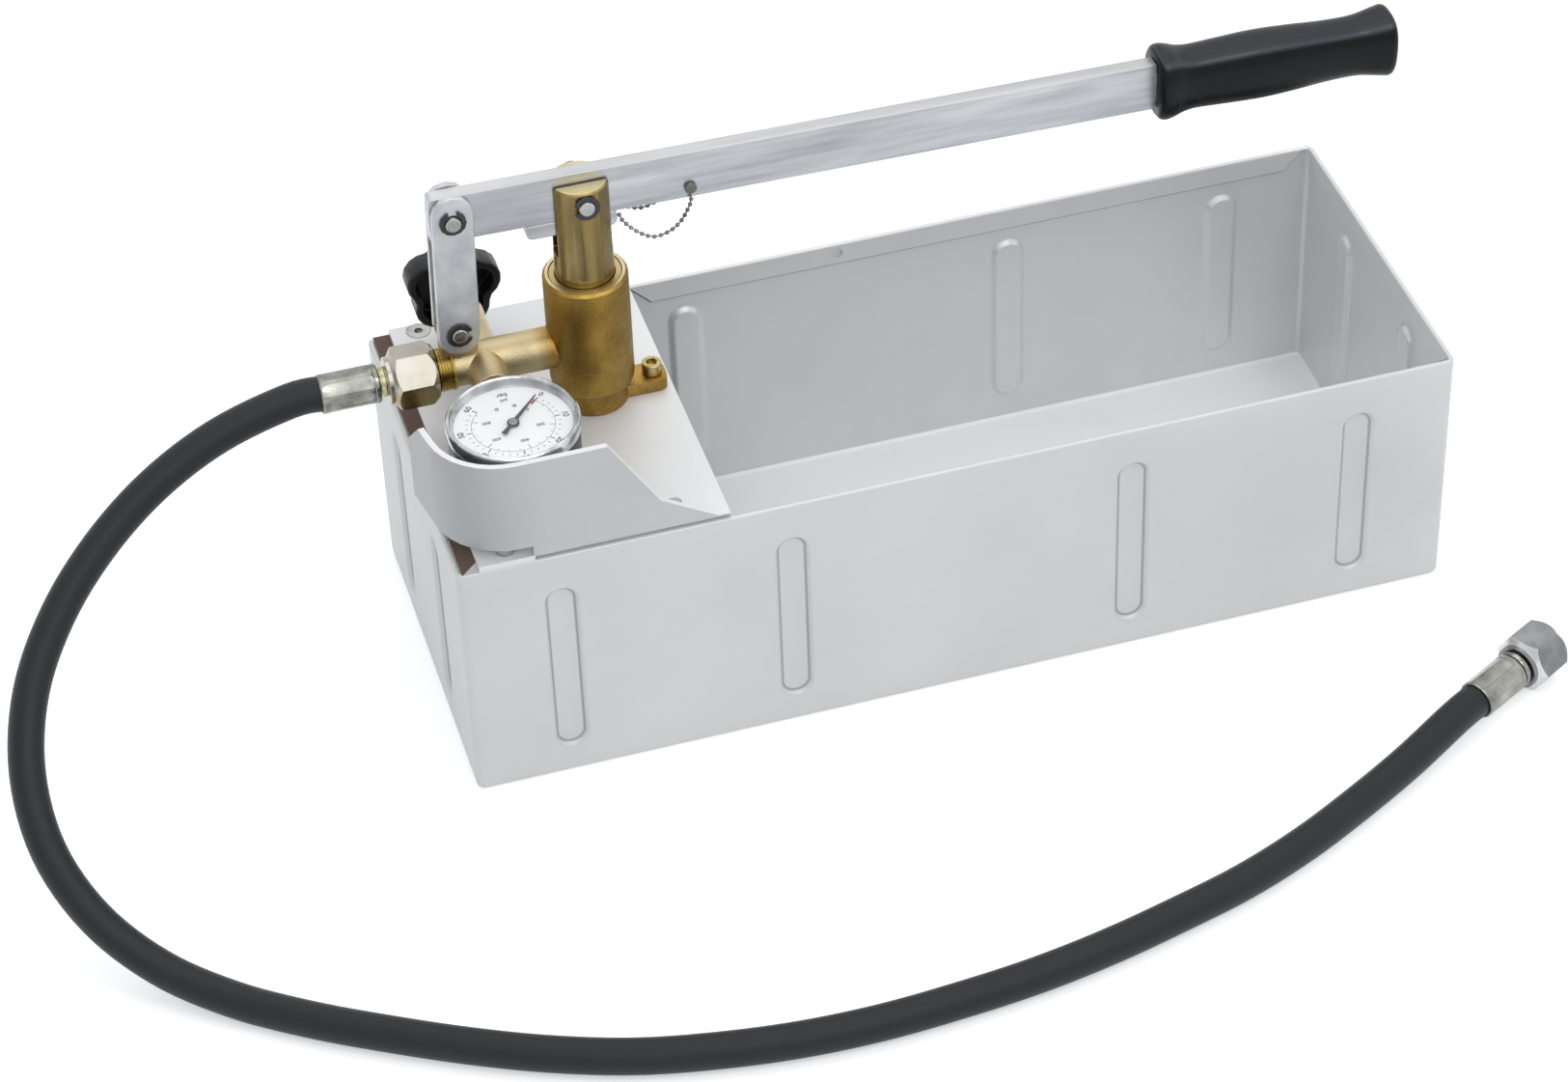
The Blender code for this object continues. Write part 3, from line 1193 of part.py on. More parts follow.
def make_gauge():
    centre = Vector((CROSS_X, GAUGE_Y, ARM_Z))
    wall = GAUGE_CASE_RADIUS - GAUGE_WALL
    floor = GAUGE_WALL - GAUGE_LOW
    lip = GAUGE_BEZEL_HIGH
    profile = (
        (0, -GAUGE_LOW),
        (GAUGE_CASE_RADIUS - GAUGE_WALL, -GAUGE_LOW),
        (GAUGE_CASE_RADIUS, GAUGE_WALL - GAUGE_LOW),
        (GAUGE_CASE_RADIUS, GAUGE_BEZEL_LOW),
        (GAUGE_RADIUS, GAUGE_BEZEL_LOW + GAUGE_WALL / 2),
        (GAUGE_RADIUS, lip - GAUGE_WALL),
        (GAUGE_RADIUS - GAUGE_WALL, lip),
        (GAUGE_LIP_RADIUS + GAP, lip),
        (GAUGE_LIP_RADIUS + GAP, DIAL_HEIGHT - GAP),
        (GAUGE_LIP_RADIUS - GAUGE_WALL, DIAL_HEIGHT - GAP),
        (GAUGE_LIP_RADIUS - GAUGE_WALL, floor),
        (0, floor),
    )
    case = piece("gauge_case", lathe(profile, GAUGE_STEPS), "black_plastic", centre)
    stem_hole = disc(STEM_THREAD_RADIUS + GAP, wall / 2, GAUGE_RADIUS + OVERRUN, ARM_STEPS)
    cut(case, "stem_hole", stem_hole, centre, TO_BACK)
    make_stem(centre)
    dial = tube(DIAL_RADIUS, SPINDLE_BORE_RADIUS, DIAL_HEIGHT, DIAL_HEIGHT + DIAL_SHEET, GAUGE_STEPS)
    piece("gauge_dial", dial, "white", centre)
    lens_low = GAUGE_BEZEL_HIGH - LENS_SHEET
    lens = disc(GAUGE_LIP_RADIUS, lens_low, GAUGE_BEZEL_HIGH, GAUGE_STEPS, LENS_SHEET / 4)
    piece("gauge_lens", lens, "glass", centre)
    make_needle(centre)


def make_stem(centre):
    """The brass connection between the case and the boss: thread, hexagon and spigot."""
    case_face = -math.sqrt(GAUGE_CASE_RADIUS**2 - STEM_RADIUS**2)
    start = -GAUGE_CASE_RADIUS - GAP
    boss = BOSS_FACE - centre.y
    stem = piece("gauge_stem", hexagon(STEM_RADIUS, -start, boss - GAP), "brass", centre, TO_BACK)
    neck = disc(STEM_THREAD_RADIUS, -case_face / 2, boss + STEM_THREAD_LENGTH, ARM_STEPS)
    fuse(stem, "thread", neck, centre, TO_BACK)


def make_needle(centre):
    axis = empty("needle_axis", centre + Vector((0, 0, DIAL_HEIGHT + DIAL_SHEET + NEEDLE_LIFT)))
    half = NEEDLE_WIDTH / 2
    point = half / 4
    lower = [(-NEEDLE_TAIL, -half), (0, -half), (NEEDLE_TIP, -point)]
    outline = lower + [(x, -y) for x, y in reversed(lower)]
    turned = Matrix.Rotation(NEEDLE_REST, 4, "Z")
    shape = slab(outline, 0, NEEDLE_SHEET)
    bmesh.ops.transform(shape, matrix=turned, verts=shape.verts)
    needle = piece("gauge_needle", shape, "black_steel", parent=axis)
    peg = -NEEDLE_LIFT - DIAL_SHEET - DIAL_SHEET
    hub = (
        (0, peg),
        (SPINDLE_PEG_RADIUS, peg),
        (SPINDLE_PEG_RADIUS, -NEEDLE_LIFT / 2),
        (NEEDLE_HUB_RADIUS, -NEEDLE_LIFT / 2),
        (NEEDLE_HUB_RADIUS, NEEDLE_SHEET),
        (NEEDLE_HUB_RADIUS / 2, NEEDLE_SHEET * 2),
        (0, NEEDLE_SHEET * 2),
    )
    fuse(needle, "hub", lathe(hub, SCREW_STEPS))


def make_release_valve():
    place = (CROSS_X, PUMP_OFFSET, ARM_Z)
    start = BRANCH_REACH + GAP
    bonnet_shape = hexagon(BONNET_RADIUS, start, start + BONNET_HEIGHT)
    bonnet = piece("valve_bonnet", bonnet_shape, "brass", place, TO_BACK)
    chamfered_hexagon(bonnet, BONNET_RADIUS, start, start + BONNET_HEIGHT)
    bore = disc(SPINDLE_RADIUS + GAP, start - OVERRUN, start + BONNET_HEIGHT + OVERRUN, ARM_STEPS)
    cut(bonnet, "bore", bore, place, TO_BACK)
    low = start + BONNET_HEIGHT + GAP
    packing_shape = hexagon(PACKING_RADIUS, low, low + PACKING_HEIGHT)
    packing = piece("packing_nut", packing_shape, "brass", place, TO_BACK)
    chamfered_hexagon(packing, PACKING_RADIUS, low, low + PACKING_HEIGHT)
    bore = disc(SPINDLE_RADIUS + GAP, low - OVERRUN, low + PACKING_HEIGHT + OVERRUN, ARM_STEPS)
    cut(packing, "bore", bore, place, TO_BACK)
    axis = empty("spindle_axis", place)
    tip = SPINDLE_BACK
    end = KNOB_REACH + KNOB_THICKNESS + KNOB_NUT_HEIGHT
    profile = ((0, tip), (SPINDLE_RADIUS, tip + SPINDLE_RADIUS), (SPINDLE_RADIUS, end - GAP), (0, end - GAP))
    piece("valve_spindle", lathe(profile, ARM_STEPS), "brass", turn=TO_BACK, parent=axis)
    make_knob(axis)


def knob_outline(inset):
    """The knob's outline: lobes with round crests, and scallops between them."""
    points = []
    for i in range(KNOB_POINTS):
        angle = 2 * math.pi * i / KNOB_POINTS
        wave = (1 + math.cos(KNOB_LOBES * (angle - KNOB_FIRST_LOBE))) / 2
        radius = KNOB_RADIUS - inset - KNOB_NOTCH * (1 - math.sqrt(wave))
        points.append((radius * math.cos(angle), -radius * math.sin(angle)))
    return points


def make_knob(axis):
    """The hand knob: a lobed shell with a hub, hollow towards the valve."""
    low = KNOB_REACH
    high = KNOB_REACH + KNOB_THICKNESS
    sections = [(KNOB_ROUND / 3, low), (0, low + KNOB_ROUND / 3), (0, high - KNOB_ROUND)]
    sections += [(KNOB_ROUND / 3, high - KNOB_ROUND / 3), (KNOB_ROUND, high)]
    loops = [[(x, y, height) for x, y in knob_outline(inset)] for inset, height in sections]
    knob = piece("valve_knob", loft(loops), "black_plastic", turn=TO_BACK, parent=axis)
    heights = (low - OVERRUN, low + KNOB_HOLLOW)
    hollow = [[(x, y, height) for x, y in knob_outline(KNOB_WALL)] for height in heights]
    cut(knob, "hollow", loft(hollow), turn=TO_BACK)
    hub = disc(KNOB_HUB_RADIUS, low, low + KNOB_HOLLOW + SEAM, ARM_STEPS)
    fuse(knob, "hub", hub, turn=TO_BACK)
    cut(knob, "bore", disc(SPINDLE_RADIUS + GAP, low - OVERRUN, high + OVERRUN, ARM_STEPS), turn=TO_BACK)
    nut_shape = hexagon(KNOB_NUT_RADIUS, high + GAP, high + KNOB_NUT_HEIGHT)
    nut = piece("knob_nut", nut_shape, "zinc", turn=TO_BACK, parent=axis)
    bore = disc(SPINDLE_RADIUS + GAP, high - OVERRUN, high + KNOB_NUT_HEIGHT + OVERRUN, ARM_STEPS)
    cut(nut, "bore", bore, turn=TO_BACK)


def make_hose_end(tag, place, heading):
    """Union nut, nipple and ferrule at one end, along the heading; place is the nut's outer face."""
    turn = (0, math.pi / 2, heading)
    frame = empty(f"hose_end_{tag}", place, turn)
    spun = (0, 0, math.pi / 6)
    nut = piece(f"union_nut_{tag}", hexagon(NUT_RADIUS, 0, NUT_LENGTH), "zinc", turn=spun, parent=frame)
    chamfered_hexagon(nut, NUT_RADIUS, 0, NUT_LENGTH)
    bore = (
        (0, -OVERRUN),
        (THREAD_RADIUS + GAP, -OVERRUN),
        (THREAD_RADIUS + GAP, NUT_LENGTH - NUT_LIP),
        (NIPPLE_RADIUS + GAP, NUT_LENGTH - NUT_LIP),
        (NIPPLE_RADIUS + GAP, NUT_LENGTH + OVERRUN),
        (0, NUT_LENGTH + OVERRUN),
    )
    cut(nut, "bore", lathe(bore, ARM_STEPS))
    shoulder = NUT_LENGTH - NUT_LIP - GAP
    ferrule_start = NUT_LENGTH + NIPPLE_NECK
    tail = ferrule_start + FERRULE_LENGTH - FERRULE_SOCKET - GAP
    inner = NIPPLE_BORE_RADIUS
    nipple = (
        (NIPPLE_FLANGE_RADIUS, shoulder - NIPPLE_FLANGE),
        (NIPPLE_FLANGE_RADIUS, shoulder),
        (NIPPLE_RADIUS, shoulder),
        (NIPPLE_RADIUS, tail),
        (inner, tail),
        (inner, shoulder - NIPPLE_FLANGE),
    )
    piece(f"hose_nipple_{tag}", lathe(nipple, ARM_STEPS), "brass", parent=frame)
    washer_top = shoulder - NIPPLE_FLANGE - GAP
    washer = tube(NIPPLE_FLANGE_RADIUS, inner, washer_top - WASHER_HEIGHT, washer_top, ARM_STEPS)
    piece(f"union_washer_{tag}", washer, "rubber", parent=frame)
    end = ferrule_start + FERRULE_LENGTH
    bevel = FERRULE_ROUND
    ferrule = (
        (FERRULE_RADIUS - bevel, ferrule_start),
        (FERRULE_RADIUS, ferrule_start + bevel),
        (FERRULE_RADIUS, end - bevel),
        (FERRULE_RADIUS - bevel / 2, end),
        (HOSE_RADIUS + GAP, end),
        (HOSE_RADIUS + GAP, end - FERRULE_SOCKET),
        (NIPPLE_RADIUS + GAP, end - FERRULE_SOCKET),
        (NIPPLE_RADIUS + GAP, ferrule_start),
    )
    piece(f"hose_ferrule_{tag}", lathe(ferrule, ARM_STEPS), "zinc", parent=frame)


def fitting_reach():
    """From a union nut's outer face to where the hose itself starts."""
    return NUT_LENGTH + NIPPLE_NECK + FERRULE_LENGTH - FERRULE_SOCKET + GAP


def make_hose():
    """The hose, from the pump's ferrule down to the floor, along the front and into the free ferrule."""
    pump_face = Vector((PUMP_X - NUT_FROM_AXIS, PUMP_OFFSET, ARM_Z))
    make_hose_end("pump", pump_face, math.pi)
    lie = NUT_RADIUS * math.cos(math.pi / 6) + GAP
    ahead = Vector((math.cos(FREE_HEADING), math.sin(FREE_HEADING), 0))
    mouth = Vector((*FREE_END, lie))
    free_face = mouth + (fitting_reach() + FERRULE_SOCKET - GAP) * ahead
    make_hose_end("free", free_face, FREE_HEADING + math.pi)
    first = pump_face - Vector((fitting_reach(), 0, 0))
    last = free_face - fitting_reach() * ahead
    leads = (first - Vector((HOSE_STRAIGHT, 0, 0)), last - HOSE_STRAIGHT * ahead)
    route = [first, leads[0]] + [Vector(point) for point in HOSE_ROUTE] + [leads[1], last]
    total, at = measured(smooth_route(route))
    free_run = total - 2 * HOSE_STRAIGHT
    count = round(free_run / HOSE_POINT_EVERY)
    points = [at(HOSE_STRAIGHT + free_run * i / count)[0] for i in range(count + 1)]
    points = [first] + points + [last]
    curve = bpy.data.curves.new("hose", "CURVE")
    curve.dimensions = "3D"
    curve.bevel_depth = HOSE_RADIUS
    curve.bevel_resolution = 4
    curve.use_fill_caps = True
    spline = curve.splines.new("POLY")
    spline.points.add(len(points) - 1)
    for point, place in zip(spline.points, points):
        point.co = (*place, 1)
    hose = placed("hose", curve)
    painted(hose, "rubber")
    print(f"hose: {total:.3f} m of rubber, {len(points)} points")


def main():
    clear_scene()
    make_tank()
    make_deck()
    make_deck_screws()
    make_pump_body()
    make_inner_valves()
    slide = make_plunger()
    pivot = make_lever(slide)
    make_lock_bar(pivot)
    make_link()
    make_gauge()
    make_release_valve()
    make_hose()


main()
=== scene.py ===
"""Looks of the hydrostatic test pump: camera, hose, skins, finishes and studio, in metres, +Z up."""

import json
from math import atan2, copysign, cos, hypot, pi, radians, sin

import bmesh
import bpy
from mathutils import Matrix, Vector

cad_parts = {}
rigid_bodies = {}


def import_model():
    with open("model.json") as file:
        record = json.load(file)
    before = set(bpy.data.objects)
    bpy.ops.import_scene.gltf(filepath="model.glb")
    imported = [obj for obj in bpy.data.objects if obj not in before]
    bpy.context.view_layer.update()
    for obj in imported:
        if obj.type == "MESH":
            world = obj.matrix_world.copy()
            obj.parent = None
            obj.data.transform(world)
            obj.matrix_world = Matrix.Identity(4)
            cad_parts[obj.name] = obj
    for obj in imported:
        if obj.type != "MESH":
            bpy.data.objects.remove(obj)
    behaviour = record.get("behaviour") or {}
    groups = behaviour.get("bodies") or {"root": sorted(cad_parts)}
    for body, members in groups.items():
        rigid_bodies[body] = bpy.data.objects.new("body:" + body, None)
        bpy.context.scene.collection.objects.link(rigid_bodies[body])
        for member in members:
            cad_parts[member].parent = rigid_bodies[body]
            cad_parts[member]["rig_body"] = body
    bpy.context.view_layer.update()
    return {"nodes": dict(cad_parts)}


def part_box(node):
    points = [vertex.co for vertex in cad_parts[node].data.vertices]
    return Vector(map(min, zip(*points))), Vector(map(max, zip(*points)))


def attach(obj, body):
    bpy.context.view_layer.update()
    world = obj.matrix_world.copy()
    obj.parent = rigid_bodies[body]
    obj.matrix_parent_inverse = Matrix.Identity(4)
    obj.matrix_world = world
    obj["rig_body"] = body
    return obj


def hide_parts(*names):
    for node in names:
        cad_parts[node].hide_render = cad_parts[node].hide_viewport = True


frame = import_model()

# Camera: place, and the angles that it looks along
CAMERA_PLACE = Vector((-0.5161, -1.6613, 1.5188))
CAMERA_AZIMUTH = radians(15.15)
CAMERA_ELEVATION = radians(40.82)
CAMERA_ROLL = radians(-2.34)
CAMERA_LENS = 103.86  # millimetres, on a sensor 36 mm wide

# Hose: the same points as the solid's
HOSE_RADIUS = 0.0086
HOSE_ROUTE = (
    (-0.2846, 0.0115, 0.176), (-0.30255, 0.0115, 0.17601), (-0.33948, 0.00556, 0.16883),
    (-0.37378, -0.00551, 0.15658), (-0.40438, -0.02103, 0.14001), (-0.43044, -0.04108, 0.12083),
    (-0.45001, -0.06558, 0.09926), (-0.45972, -0.09401, 0.07601), (-0.45804, -0.12418, 0.053),
    (-0.44405, -0.15312, 0.03275), (-0.4204, -0.17829, 0.01692), (-0.39142, -0.20164, 0.00946),
    (-0.36064, -0.2241, 0.0086), (-0.32839, -0.24446, 0.0088), (-0.29522, -0.26326, 0.0088),
    (-0.26092, -0.27994, 0.0088), (-0.22522, -0.29326, 0.0088), (-0.18806, -0.30177, 0.0088),
    (-0.15029, -0.30698, 0.0088), (-0.1122, -0.30847, 0.0088), (-0.07412, -0.30656, 0.0088),
    (-0.03617, -0.30276, 0.0088), (0.00136, -0.29605, 0.0088), (0.03838, -0.28688, 0.0088),
    (0.07502, -0.27633, 0.00879), (0.11039, -0.26214, 0.0088), (0.14441, -0.24491, 0.00888),
    (0.17799, -0.22691, 0.01035), (0.21098, -0.20809, 0.01381), (0.22674, -0.19942, 0.01381),
)
HOSE_SIDES = 32
HOSE_PARTS = 6  # rings in each stretch of the route
RIB_DENSITY = 4.4  # of the fabric pressed into the hose

# Fittings at the hose's ends
GAP = 0.0003  # between neighbours
NUT_LENGTH = 0.0238
NUT_RADIUS = 0.0156
NUT_MOUTH = ((0.0124, -0.0006), (0.0160, 0.0042))  # the cone that rounds the open end
NUT_BACK = ((0.0160, 0.0186), (0.0114, 0.0216), (0.0114, 0.0248))  # and the one at the hose, with its collar
NUT_BORE = 0.0105
NUT_LIP = 0.003
NIPPLE_RADIUS = 0.007
NIPPLE_FLANGE_RADIUS = 0.0098
NIPPLE_BORE = 0.004
NIPPLE_FLANGE = 0.003
WASHER_THICKNESS = 0.002
FERRULE_START = 0.0278
FERRULE_END = 0.0563
FERRULE_RADIUS = 0.0098
FERRULE_BORE = 0.0089
FERRULE_SOCKET = 0.004
FITTING_REACH = 0.0526  # from the nut's outer face to where the hose starts
CRIMPS = 8

# Pump body: the middle of its barrel on the arm's axis, the arm's thread, and the skins over its branches
ARM = Vector((-0.1555, 0.0115, 0.176))
THREAD_START = -0.2245
THREAD_END = -0.2318
THREAD_PITCH = 0.0014
THREAD_FOOT = 0.0098
THREAD_VALLEY = 0.01028
THREAD_CREST = 0.0109
ARM_SKINS = (  # how far along the arm, the way it points, and its (radius, distance) outline
    (0, (-1, 0, 0), (
        (0.0095, 0.0190), (0.01038, 0.0190), (0.01038, 0.0577), (0.00978, 0.0625), (0.00978, 0.0690),
        (0.0090, 0.0690),
    )),
    (0.053, (0, -1, 0), (
        (0.0090, 0.0040), (0.00958, 0.0040), (0.00958, 0.0239), (0.0091, 0.0245), (0.0088, 0.0242),
    )),
    (0.053, (0, 1, 0), (
        (0.0084, 0.0040), (0.00908, 0.0040), (0.00908, 0.0330), (0.0086, 0.0335), (0.0083, 0.0332),
    )),
)
PALE_ARM_RANGE = (-0.184, -0.176)  # where the arm's paler brass ends, along X

# Tank
TANK_LENGTH = 0.500
TANK_WIDTH = 0.190
TANK_HEIGHT = 0.138
TANK_SHEET = 0.0012
TANK_CORNER = 0.004
RIM = 0.0026
HEM_DEPTH = 0.013
HEM_EDGE = 0.001
MITRE_SLANT = 1.41
HEM_HOLE = (-0.0076, 0.1325, 0.0031)  # its x, its height and its radius
HOLE_STEPS = 32
BEAD_HALF = 0.00875
BEAD_DEPTH = 0.0026
BEAD_LOW = 0.0165
BEAD_HIGH = 0.118
BEAD_FLANK_SHARE = 0.26  # of the bead's half width, where it slopes
BEAD_SHADE_LINE = 0.0067  # the painted shade in the crease round a bead, from its middle
BEAD_STEP = 0.0009  # between the rows of faces over a bead
WALL_STEP = 0.03  # and between those elsewhere
BEAD_SIDES = (-0.2015, -0.088, 0.084, 0.2005)
BEAD_ENDS = (-0.0399, 0.0399)
DECK_LEFT = -0.239
DECK_RIGHT = -0.117
FLANGE_WIDTH = 0.017
BEND_SHADE_RANGE = (-0.242, -0.205)  # where painted shade darkens the guard's bent end, along X
NEAR = 0.000001  # points that are closer are at the same place

# Lever, chain and grip: places on the lever are measured from the plunger pin
LEVER_TILT = radians(0.95)
PLUNGER_PIN = Vector((-0.1555, 0.0115, 0.264))
GRIP_START = 0.2854
GRIP_LENGTH = 0.1226
GRIP_HALF_HEIGHT = 0.0184
GRIP_OVAL_SHARE = 0.8
GRIP_SQUARENESS = 2.7  # 2 is an oval, and more has flatter sides
GRIP_PROFILE_SHARES = (
    (0.0, 0.88), (0.012, 0.975), (0.035, 1.0), (0.065, 0.96), (0.105, 0.88), (0.16, 0.84),
    (0.28, 0.87), (0.43, 0.90), (0.58, 0.86), (0.72, 0.80), (0.84, 0.80), (0.93, 0.905),
    (0.97, 0.94), (0.99, 0.82), (1.0, 0.50),
)
CHAIN_FRAME = Vector((0, 0, -0.0128))  # from the pin to the middle of the lever's underside
CHAIN_START = Vector((0.0527, -0.0055, 0.0016))
CHAIN_END = Vector((0.0184, 0.0, -0.0039))
CHAIN_SAG = 0.0183
CHAIN_SHAPE_SHARES = (
    (0.0, 0.0), (0.012, 0.204), (0.07, 0.433), (0.16, 0.697), (0.294, 0.887), (0.461, 0.976),
    (0.568, 0.949), (0.690, 0.812), (0.832, 0.563), (0.953, 0.26), (1.0, 0.0),
)
CHAIN_BALL = 0.00115
CHAIN_WIRE = 0.0004
CHAIN_PITCH = 0.0032
CHAIN_BEHIND = (  # behind the lever, from the lock bar's end up to the stud's other side
    (-0.1352, 0.0155, 0.2466), (-0.1313, 0.017, 0.2448), (-0.1248, 0.017, 0.2427), (-0.1171, 0.017, 0.2448),
    (-0.1095, 0.0176, 0.2490), (-0.1046, 0.0180, 0.2545),
)

# Gauge, face up, heights over the stem's axis
GAUGE_CENTRE = Vector((-0.2085, -0.0516, 0.176))
GAUGE_RADIUS = 0.0320
GAUGE_CASE_RADIUS = 0.0311
GAUGE_LOW = -0.014
BEZEL_LOW = 0.008
BEZEL_HIGH = 0.0145
DIAL_TOP = 0.0096
PRINT_TOP = DIAL_TOP + 0.00004
DIAL_RADIUS = 0.0294
FULL_SCALE = 60
PSI = 0.0689476  # in bar
NEEDLE_REST = radians(48)
NEEDLE_TIP = 0.0224

# Studio: a floor that glows a little for the eye, and (name, place, size, power) of its lights
FLOOR_REACH = 8
FLOOR_LIFT = 0.42
LIGHTS = (
    ("key_light", (-0.2, -1.6, 2.1), 1.9, 12),
    ("spark_light", (0.65, -1.25, 2.15), 0.45, 4.5),
    ("top_light", (0.2, 0.7, 2.3), 2.2, 14),
    ("side_light", (1.9, -0.9, 1.3), 2.0, 4),
)

# Nodes that keep their own shape, with broken edges: look, width of the edges, nodes
REFINED = (
    ("deck", 0.0005, ("deck_guard",)),
    ("zinc", 0.0002, ("deck_screw_back_left", "deck_screw_back_right", "deck_screw_front_right")),
    ("zinc", 0.0003, ("deck_screw_front_left", "plunger_pin", "link_pin_low", "link_pin_top", "knob_nut")),
    ("yellow", 0.0003, ("ear_screw",)),
    ("brass", 0.0005, ("pump_body",)),
    ("turned", 0.0002, ("valve_spindle",)),
    ("turned", 0.0003, ("body_nut", "gauge_stem", "packing_nut")),
    ("turned", 0.0004, ("valve_bonnet",)),
    ("gland", 0.0002, ("gland_ring",)),
    ("plastic", 0.0003, ("suction_pipe", "strainer")),
    ("plastic", 0.0014, ("valve_knob",)),
    ("plunger", 0.0003, ("plunger",)),
    ("ring", 0.0001, ("plunger_pin_ring_front", "plunger_pin_ring_back", "link_pin_low_ring_front")),
    ("ring", 0.0001, ("link_pin_low_ring_back", "link_pin_top_ring_front", "link_pin_top_ring_back")),
    ("lever", 0.0006, ("lever_bar",)),
    ("lever", 0.0005, ("lock_bar",)),
    ("chain", 0.0002, ("chain_stud",)),
    ("link", 0.0004, ("link_front", "link_back")),
)
TURNED_OVER = ("link_pin_top_ring_front",)
# Nodes whose upper faces over a height take a paler look, painted light from above, and on the cast pump body
# also its faced top: node, look, height
LIT_TOPS = (("lever_bar", "lever_lit_top", 0.200), ("pump_body", "faced_and_lit_top", 0.200), ("plunger", "faced_and_lit_top", 0.260))
# Nodes that stay as they are
INSIDE = (
    ("turned", ("suction_seat", "delivery_seat", "spring_guide")),
    ("zinc", ("suction_ball", "delivery_ball", "delivery_spring")),
    ("rubber", ("plunger_seal",)),
)


def srgb(*values):
    """Screen values from 0 to 255 as the linear colour that the shaders take."""
    shares = [value / 255 for value in values]
    return tuple(s / 12.92 if s <= 0.04045 else ((s + 0.055) / 1.055) ** 2.4 for s in shares)


def adjusted(thing, **values):
    """The thing, with its named values set."""
    for name, value in values.items():
        setattr(thing, name, value)
    return thing


def in_scene(name, data):
    """A new object round its data, in the scene."""
    obj = bpy.data.objects.new(name, data)
    bpy.context.scene.collection.objects.link(obj)
    return obj


def worked_out(obj):
    """The object's mesh, with its modifiers or its lettering worked out."""
    graph = bpy.context.evaluated_depsgraph_get()
    return bpy.data.meshes.new_from_object(obj.evaluated_get(graph))


def make_camera():
    """The photograph's view: its axes are turned by azimuth and elevation, then rolled."""
    level_share = cos(CAMERA_ELEVATION)
    ahead = Vector(
        (sin(CAMERA_AZIMUTH) * level_share, cos(CAMERA_AZIMUTH) * level_share, -sin(CAMERA_ELEVATION))
    )
    level = ahead.cross(Vector((0, 0, 1))).normalized()
    upright = level.cross(ahead)
    right = cos(CAMERA_ROLL) * level + sin(CAMERA_ROLL) * upright
    up = cos(CAMERA_ROLL) * upright - sin(CAMERA_ROLL) * level
    data = bpy.data.cameras.new("photo_camera")
    adjusted(data, sensor_fit="HORIZONTAL", sensor_width=36, lens=CAMERA_LENS)
    camera = in_scene("photo_camera", data)
    camera.matrix_world = Matrix.Translation(CAMERA_PLACE) @ Matrix((right, up, -ahead)).transposed().to_4x4()
    bpy.context.scene.camera = camera


def smooth_line(points, parts):
    """Points on a smooth curve through the given ones, with so many parts in each stretch."""
    points = [Vector(point) for point in points]
    line = []
    for i in range(len(points) - 1):
        a = points[max(i - 1, 0)]
        b, c = points[i], points[i + 1]
        d = points[min(i + 2, len(points) - 1)]
        for k in range(parts):
            t = k / parts
            point = 2 * b + (c - a) * t + (2 * a - 5 * b + 4 * c - d) * t**2
            line.append(0.5 * (point + (3 * b - a - 3 * c + d) * t**3))
    return line + [points[-1]]


def new_object(name, shape, finish, smooth):
    """A mesh object from a bmesh, with its faces pointing out and its edges sharp over an angle."""
    bmesh.ops.recalc_face_normals(shape, faces=shape.faces)
    mesh = bpy.data.meshes.new(name)
    shape.to_mesh(mesh)
    shape.free()
    mesh.shade_smooth()
    mesh.set_sharp_from_angle(angle=radians(smooth))
    mesh.materials.append(finish)
    return in_scene(name, mesh)


def stand_for(obj, node):
    """The object rides with the node's body and takes its place."""
    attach(obj, frame["nodes"][node]["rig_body"])
    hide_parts(node)
    return obj


def stand_in(node, shape, finish, smooth, name=None):
    """A new object that takes a node's place."""
    return stand_for(new_object(name or f"{node}_detail", shape, finish, smooth), node)


def extra(name, shape, finish, smooth, body="pump_stand"):
    """A new object that takes no node's place and rides with a body."""
    obj = new_object(name, shape, finish, smooth)
    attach(obj, body)


def finish_where(obj, finish, chosen):
    """Gives one more finish to the faces that are chosen by their middle and their normal."""
    obj.data.materials.append(finish)
    index = len(obj.data.materials) - 1
    for face in obj.data.polygons:
        if chosen(face.center, face.normal):
            face.material_index = index


def circle(steps, start=0.0):
    """The cosine and sine of angles spread evenly over a full turn."""
    turns = [start + 2 * pi * k / steps for k in range(steps)]
    return [(cos(turn), sin(turn)) for turn in turns]


def hoop(place, radius, height, steps, start=0.0):
    """A circle of points about the place's Z, at a height over it."""
    return [place @ Vector((radius * c, radius * s, height)) for c, s in circle(steps, start)]


def ring(shape, points):
    return [shape.verts.new(point) for point in points]


def skin(shape, rings, closed=True):
    """Faces between rings of vertices; a ring may be the one point that ends a shape."""
    for low, high in zip(rings, rings[1:]):
        count = max(len(low), len(high))
        for i in range(count if closed else count - 1):
            j = (i + 1) % count
            corners = (low[i % len(low)], low[j % len(low)], high[j % len(high)], high[i % len(high)])
            shape.faces.new(list(dict.fromkeys(corners)))


def loft(shape, loops):
    """Skin over loops of points, with both ends closed."""
    rings = [ring(shape, loop) for loop in loops]
    skin(shape, rings)
    shape.faces.new(rings[0])
    shape.faces.new(rings[-1])


def lathe(shape, profile, steps, place, closed=False):
    """Turns (radius, height) points about Z; points on the axis, or a closed profile, leave no end open."""
    rings = []
    for radius, height in profile:
        rings.append(ring(shape, hoop(place, radius, height, steps if radius else 1)))
    skin(shape, rings + rings[:1] if closed else rings)


def turned(profile, steps, place, closed=False):
    """A new shape from the lathe, with points that are at the same place joined."""
    shape = bmesh.new()
    lathe(shape, profile, steps, place, closed)
    bmesh.ops.remove_doubles(shape, verts=shape.verts, dist=NEAR)
    return shape


def broken(obj, width, angle=20):
    """Gives the object small round edges."""
    bevel = obj.modifiers.new("broken_edges", "BEVEL")
    adjusted(bevel, width=width, segments=2, limit_method="ANGLE", angle_limit=radians(angle))
    return obj


